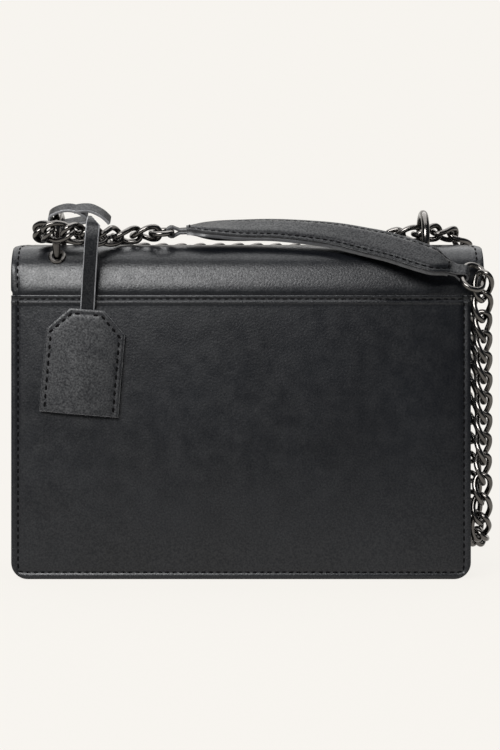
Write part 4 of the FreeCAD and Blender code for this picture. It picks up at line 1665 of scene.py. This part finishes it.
@dataclass
class HangTag:
    """The hang tag, its strap and the loop of the strap round the left ring.

    Each stop of the strap's route is a place in Y and Z before the tag leans. Each stop of the loop's and
    the tail's route is a reach along X from the ring's wire and a level outwards from it.
    """

    finishes: Finishes
    knot: Point = (-73.5, -33.67, 173.84)
    ring_place: Point = (-88.5, -33.67, 173.84)
    loop_lean: float = 35.0
    tilt: float = 4.8
    top_x: float = -69.4
    top_z: float = 129.0
    back: float = -40.8
    width: float = 37.5
    height: float = 50.0
    chamfer: float = 10.7
    thickness: float = 1.4
    leaf_gap: float = 0.02
    curve: float = 1.1
    strap_width: float = 7.2
    strap_waist: float = 0.5
    strap_thickness: float = 1.6
    strap_steps: int = 16
    strap_bend: float = 5.0
    loop_steps: int = 5
    loop_thinning: float = 0.2
    slant_rise: float = 0.6
    slant_drop: float = 3.8
    seam: float = 2.4
    seam_depth: float = 0.16
    seam_dent_width: float = 1.0
    seam_end: float = 1.5
    seam_to_strap: float = 0.6
    seam_steps: int = 10
    stitch_sink: float = 0.1
    edge_roll: float = 0.2
    edge_roll_reach: float = 1.2
    strap_route: tuple[tuple[float, float], ...] = (
        (-33.67, 173.84), (-46.1, 171.84), (-49.7, 164.84), (-47.3, 147.84), (-43.0, 129.5), (-43.0, 126.5),
    )
    loop_route: tuple[tuple[float, float], ...] = (
        (14.6, -1.0), (7.0, -2.6), (0.0, -3.76), (-3.0, -2.4), (-3.5, 1.4), (0.0, 3.95), (5.25, 5.2),
        (10.2, 4.1), (14.6, 1.0),
    )
    tail_route: tuple[tuple[float, float], ...] = (
        (8.4, 4.4), (12.75, 5.1), (16.8, 4.7), (21.3, 2.2), (24.0, -0.5), (25.0, -2.0),
    )

    def leaned(self) -> Matrix:
        """How the tag and its strap lean about the knot."""
        centre = Matrix.Translation(Vector(self.knot))
        return centre @ Matrix.Rotation(math.radians(self.tilt), 4, "Y") @ centre.inverted()

    def build(self) -> None:
        """Build the leaves, the stitches, the strap and the loop."""
        self.build_leaf("tag_front_leather", self.back - 2.0 * self.thickness, "tag_front", Facing.BACK)
        self.build_leaf("tag_back_leather", self.back, "tag_back", Facing.FRONT)
        self.build_seams()
        self.build_strap()
        self.build_loop()

    def leaf_point(self, column: float, height: float, face: float, facing: Facing) -> Vector:
        """The point of one face of the tag, which curves a little across and is dented along its seam.

        Args:
            column: The place across, from -1 to 1.
            height: The height above the bottom edge.
            face: Where the face lies in Y at its sides.
            facing: Which way the face looks.

        Returns:
            The point in millimetres, leaned as the tag hangs.
        """
        half = self.width / 2.0
        shoulder = self.height - self.chamfer
        across = column * (half - max(0.0, height - shoulder))
        slant = (half + shoulder - abs(across) - height) / math.sqrt(2.0)
        edge = min(half - abs(across), self.height - height, slant)
        sunk = self.seam_depth * dent(edge, self.seam, self.seam_dent_width)
        sunk += self.edge_roll * rolled(edge, self.edge_roll_reach)
        depth = face - self.curve * (1.0 - (across / half) ** 2) - facing.value * sunk
        return self.leaned() @ Vector((self.top_x + across, depth, self.top_z - self.height + height))

    def build_leaf(self, name: str, face: float, node: str, facing: Facing) -> None:
        """One leather of the tag, with cut shoulders.

        Args:
            name: The piece's name.
            face: Where its outer face lies in Y.
            node: The plain solid that it replaces.
            facing: Which way its outer face looks.
        """
        place = partial(self.leaf_point, face=face, facing=facing)
        fine = (0.0, 0.4, 0.8, 1.2, 1.6, 2.0, 2.4, 2.8, 3.2, 3.8)
        columns = shares(self.width / 2.0, step=1.2, fine=fine)
        rows = sorted({*stations(0.0, self.height, step=1.0, fine=fine), self.height - self.chamfer})
        leaf = make_sheet(name, columns, rows, place, facing.normal)
        # The leaf's cut edges and rounded corners take the grey edge finish, a painted highlight over the edge
        # paint.
        finish_leather(
            leaf, self.finishes.tag_leather, self.finishes.pale_edge_and_highlight, self.thickness - self.leaf_gap,
            round_over=0.6, lit_edge=True,
        )
        settle(leaf, Body.TAG, Slot.LEATHER, node)

    def build_seams(self) -> None:
        """The stitches up the sides, over the shoulders and at the top corners of the front leather."""
        half = self.width / 2.0
        narrow = half - self.chamfer
        face = self.back - 2.0 * self.thickness + self.stitch_sink
        slant = self.seam * math.tan(math.pi / 8.0)
        corner_z = self.top_z - self.chamfer - slant
        inner_top = self.top_z - self.seam
        normal = self.leaned().to_3x3() @ Facing.BACK.normal
        seams = []
        for side in (-1.0, 1.0):
            stops = [
                (half - self.seam, self.top_z - self.height + self.seam_end), (half - self.seam, corner_z),
                (narrow - slant, inner_top), (self.strap_width / 2.0 + self.seam_to_strap, inner_top),
            ]
            line = []
            for (x0, z0), (x1, z1) in zip(stops, stops[1:]):
                places = spread(side * x0, side * x1, self.seam_steps)
                for across, height in zip(places, spread(z0, z1, self.seam_steps)):
                    bulge = self.curve * (1.0 - (across / half) ** 2)
                    line.append(self.leaned() @ Vector((self.top_x + across, face - bulge, height)))
            seams.append(Seam(line, normal, pitch=3.9, length=2.5, width=1.0))
        settle(sew("tag_stitches", seams, self.finishes.thread), Body.TAG, Slot.LEATHER)

    def build_strap(self) -> None:
        """The strap from the knot, out over the chain and down into the tag."""
        route = [Vector((self.top_x, depth, height)) for depth, height in self.strap_route]
        line = [self.leaned() @ point for point in smooth_line(route, self.strap_steps)]
        across = [self.leaned().to_3x3() @ End.RIGHT.normal] * len(line)
        turns = spread(0.0, math.pi, len(line) - 1)
        widths = [self.strap_width - self.strap_waist * math.sin(turn) for turn in turns]
        strip = make_strip("tag_strap_leather", line, across, widths, Vector((0.0, -1.0, 0.2)))
        self.slant_top(strip)
        # The strap's cut edges and rounded corners take the grey edge finish, a painted highlight over the
        # edge paint.
        finish_leather(
            strip, self.finishes.strap_leather, self.finishes.pale_edge_and_highlight, self.strap_thickness, centred=True,
            round_over=0.5, lit_edge=True, eased=False,
        )
        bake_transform(strip)
        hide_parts("tag_strap")
        LOG.info("%s bends with the tag: %d faces", strip.name, len(strip.data.polygons))

    def slant_top(self, strip: Piece) -> None:
        """Cut the strap's top aslant, down to the right, where it goes under the loop's tail.

        Args:
            strip: The strap, before it has its thickness.
        """
        left = self.top_x - self.strap_width / 2.0
        drop = self.strap_thickness * self.slant_drop
        high = Vector((left, 0.0, self.knot[2] + self.strap_thickness * self.slant_rise))
        across = Vector((drop, 0.0, self.strap_width))
        open_whole(strip)
        bpy.ops.mesh.bisect(
            plane_co=self.leaned() @ high * MM, plane_no=self.leaned().to_3x3() @ across, clear_outer=True
        )
        bpy.ops.object.mode_set(mode="OBJECT")

    def build_loop(self) -> None:
        """The strap's loop round the left ring, and its cut tail."""
        lean = math.radians(self.loop_lean)
        out = Vector((0.0, -math.sin(lean), math.cos(lean)))
        across = End.RIGHT.normal.cross(out)
        wire = Vector(self.ring_place)
        for name, route, nodes in (
            ("tag_loop_leather", self.loop_route, ("tag_loop",)), ("tag_tail_leather", self.tail_route, ())
        ):
            points = [wire + Vector((reach, 0.0, 0.0)) + out * level for reach, level in route]
            line = smooth_line(points, self.loop_steps)
            strip = make_strip(name, line, [across] * len(line), [self.strap_width] * len(line), out)
            thickness = self.strap_thickness - self.loop_thinning
            # The band's cut edges and rounded corners take the grey edge finish, a painted highlight over the
            # edge paint.
            finish_leather(
                strip, self.finishes.strap_leather, self.finishes.pale_edge_and_highlight, thickness, centred=True,
                round_over=0.55, lit_edge=True,
            )
            settle(strip, Body.BAG, Slot.LEATHER, *nodes)


# Metal


@dataclass
class Hardware:
    """The chain, rings, eyelets and snap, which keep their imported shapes."""

    finishes: Finishes
    nodes: tuple[str, ...] = (
        "left_ring", "right_ring", "left_eyelets", "right_eyelets", "handle_left_ring", "handle_right_ring",
        "chain_side_loop", "chain_top_run", "chain_left_turn", "snap_socket", "snap_stud",
    )

    def dress(self) -> None:
        """Give every metal node the plating."""
        for name in self.nodes:
            coat(name, self.finishes.gunmetal)


# Studio


@dataclass(frozen=True)
class Softbox:
    """A rectangular soft light that looks at a point, with its places in metres and its power in watts."""

    name: str
    place: Point
    target: Point
    sides: tuple[float, float]
    power: float

    def hang(self) -> None:
        """Put the light in its place."""
        lamp = bpy.data.lights.new(self.name, "AREA")
        lamp.shape = "RECTANGLE"
        lamp.size, lamp.size_y = self.sides
        lamp.energy = self.power
        holder = bpy.data.objects.new(self.name, lamp)
        holder.location = self.place
        view = Vector(self.target) - Vector(self.place)
        holder.rotation_euler = view.to_track_quat("-Z", "Y").to_euler()
        bpy.context.scene.collection.objects.link(holder)


@dataclass
class Studio:
    """Seamless paper, soft light and the camera at the photograph's place.

    The paper's sizes are in metres, and the camera's place is in millimetres.
    """

    paper_tone: Colour = (0.930, 0.905, 0.862)
    paper_shade: float = 0.65
    paper_glow: tuple[float, float] = (0.94, 1.0)
    paper_reach: tuple[float, float] = (0.10, 0.60)
    world_tone: Colour = (0.76, 0.86, 1.0)
    world_strength: float = 0.07
    softboxes: tuple[Softbox, ...] = (
        Softbox("key_softbox", (-0.55, -1.45, 0.86), (0.0, 0.0, 0.13), sides=(1.1, 0.6), power=36.0),
        Softbox("top_softbox", (0.0, 0.20, 1.35), (0.0, 0.20, 0.12), sides=(1.6, 1.8), power=27.0),
    )
    camera_place: Point = (4.3, -740.0, 97.7)
    lens: float = 70.25
    sight: tuple[float, float] = (0.01, 20.0)
    floor_half: float = 2.6
    floor_front: float = 0.42
    wall_place: float = 1.6
    wall_height: float = 2.6
    sweep: float = 0.7

    def build(self) -> None:
        """Set up the paper, the light and the camera."""
        bpy.context.scene.view_settings.view_transform = "Standard"
        self.build_paper()
        self.build_world()
        for softbox in self.softboxes:
            softbox.hang()
        self.build_camera()

    def build_paper(self) -> None:
        """The floor, swept up into a backdrop."""
        clear_selection()
        bpy.ops.mesh.primitive_plane_add(size=2.0 * self.floor_half)
        paper = bpy.context.object
        paper.name = "seamless_paper"
        for corner in paper.data.vertices:
            corner.co.y = self.wall_place if corner.co.y > 0.0 else -self.floor_front
        open_whole(paper)
        bpy.ops.mesh.select_mode(type="EDGE")
        bpy.ops.mesh.select_all(action="DESELECT")
        bpy.ops.object.mode_set(mode="OBJECT")
        for edge in paper.data.edges:
            edge.select = all(paper.data.vertices[number].co.y > 0.0 for number in edge.vertices)
        bpy.ops.object.mode_set(mode="EDIT")
        bpy.ops.mesh.extrude_region_move(TRANSFORM_OT_translate={"value": (0.0, 0.0, self.wall_height)})
        bpy.ops.object.mode_set(mode="OBJECT")
        apply_modifier(
            paper, "BEVEL", width=self.sweep, segments=16, limit_method="ANGLE",
            angle_limit=math.radians(45.0),
        )
        bpy.ops.object.shade_smooth()
        paper.data.materials.append(self.paper_finish().material())

    def paper_finish(self) -> PaperFinish:
        """The finish of the paper, which glows more towards the backdrop."""
        return PaperFinish(
            "seamless_paper", self.paper_tone, self.paper_shade, *self.paper_glow, *self.paper_reach
        )

    def build_world(self) -> None:
        """An even dim surround, pale where the camera sees past the paper."""
        world = bpy.data.worlds.new("studio")
        bpy.context.scene.world = world
        world.use_nodes = True
        tree = world.node_tree
        surround = tree.nodes["Background"]
        surround.inputs["Color"].default_value = (*self.world_tone, 1.0)
        surround.inputs["Strength"].default_value = self.world_strength
        pale = tree.nodes.new("ShaderNodeBackground")
        pale.inputs["Color"].default_value = (*self.paper_tone, 1.0)
        rays = tree.nodes.new("ShaderNodeLightPath")
        mixed = tree.nodes.new("ShaderNodeMixShader")
        tree.links.new(rays.outputs["Is Camera Ray"], mixed.inputs["Fac"])
        tree.links.new(surround.outputs["Background"], mixed.inputs[1])
        tree.links.new(pale.outputs["Background"], mixed.inputs[2])
        tree.links.new(mixed.outputs["Shader"], tree.nodes["World Output"].inputs["Surface"])

    def build_camera(self) -> None:
        """The camera, level and nearly square on to the back."""
        data = bpy.data.cameras.new("photograph_view")
        data.lens = self.lens
        data.clip_start, data.clip_end = self.sight
        camera = bpy.data.objects.new("photograph_view", data)
        camera.location = Vector(self.camera_place) * MM
        camera.rotation_euler = (math.pi / 2.0, 0.0, 0.0)
        bpy.context.scene.collection.objects.link(camera)
        bpy.context.scene.camera = camera


def main() -> None:
    """Build the bag's looks, piece by piece, and the studio round it."""
    logging.basicConfig(level=logging.INFO, format="%(name)s: %(message)s")
    finishes = Finishes()
    shell = Shell(finishes)
    shell.build()
    TopSkin(finishes).build()
    Inside(finishes, shell).build()
    ShoulderHandle(finishes).build()
    HangTag(finishes).build()
    Hardware(finishes).dress()
    Studio().build()


if __name__ == "__main__":
    main()
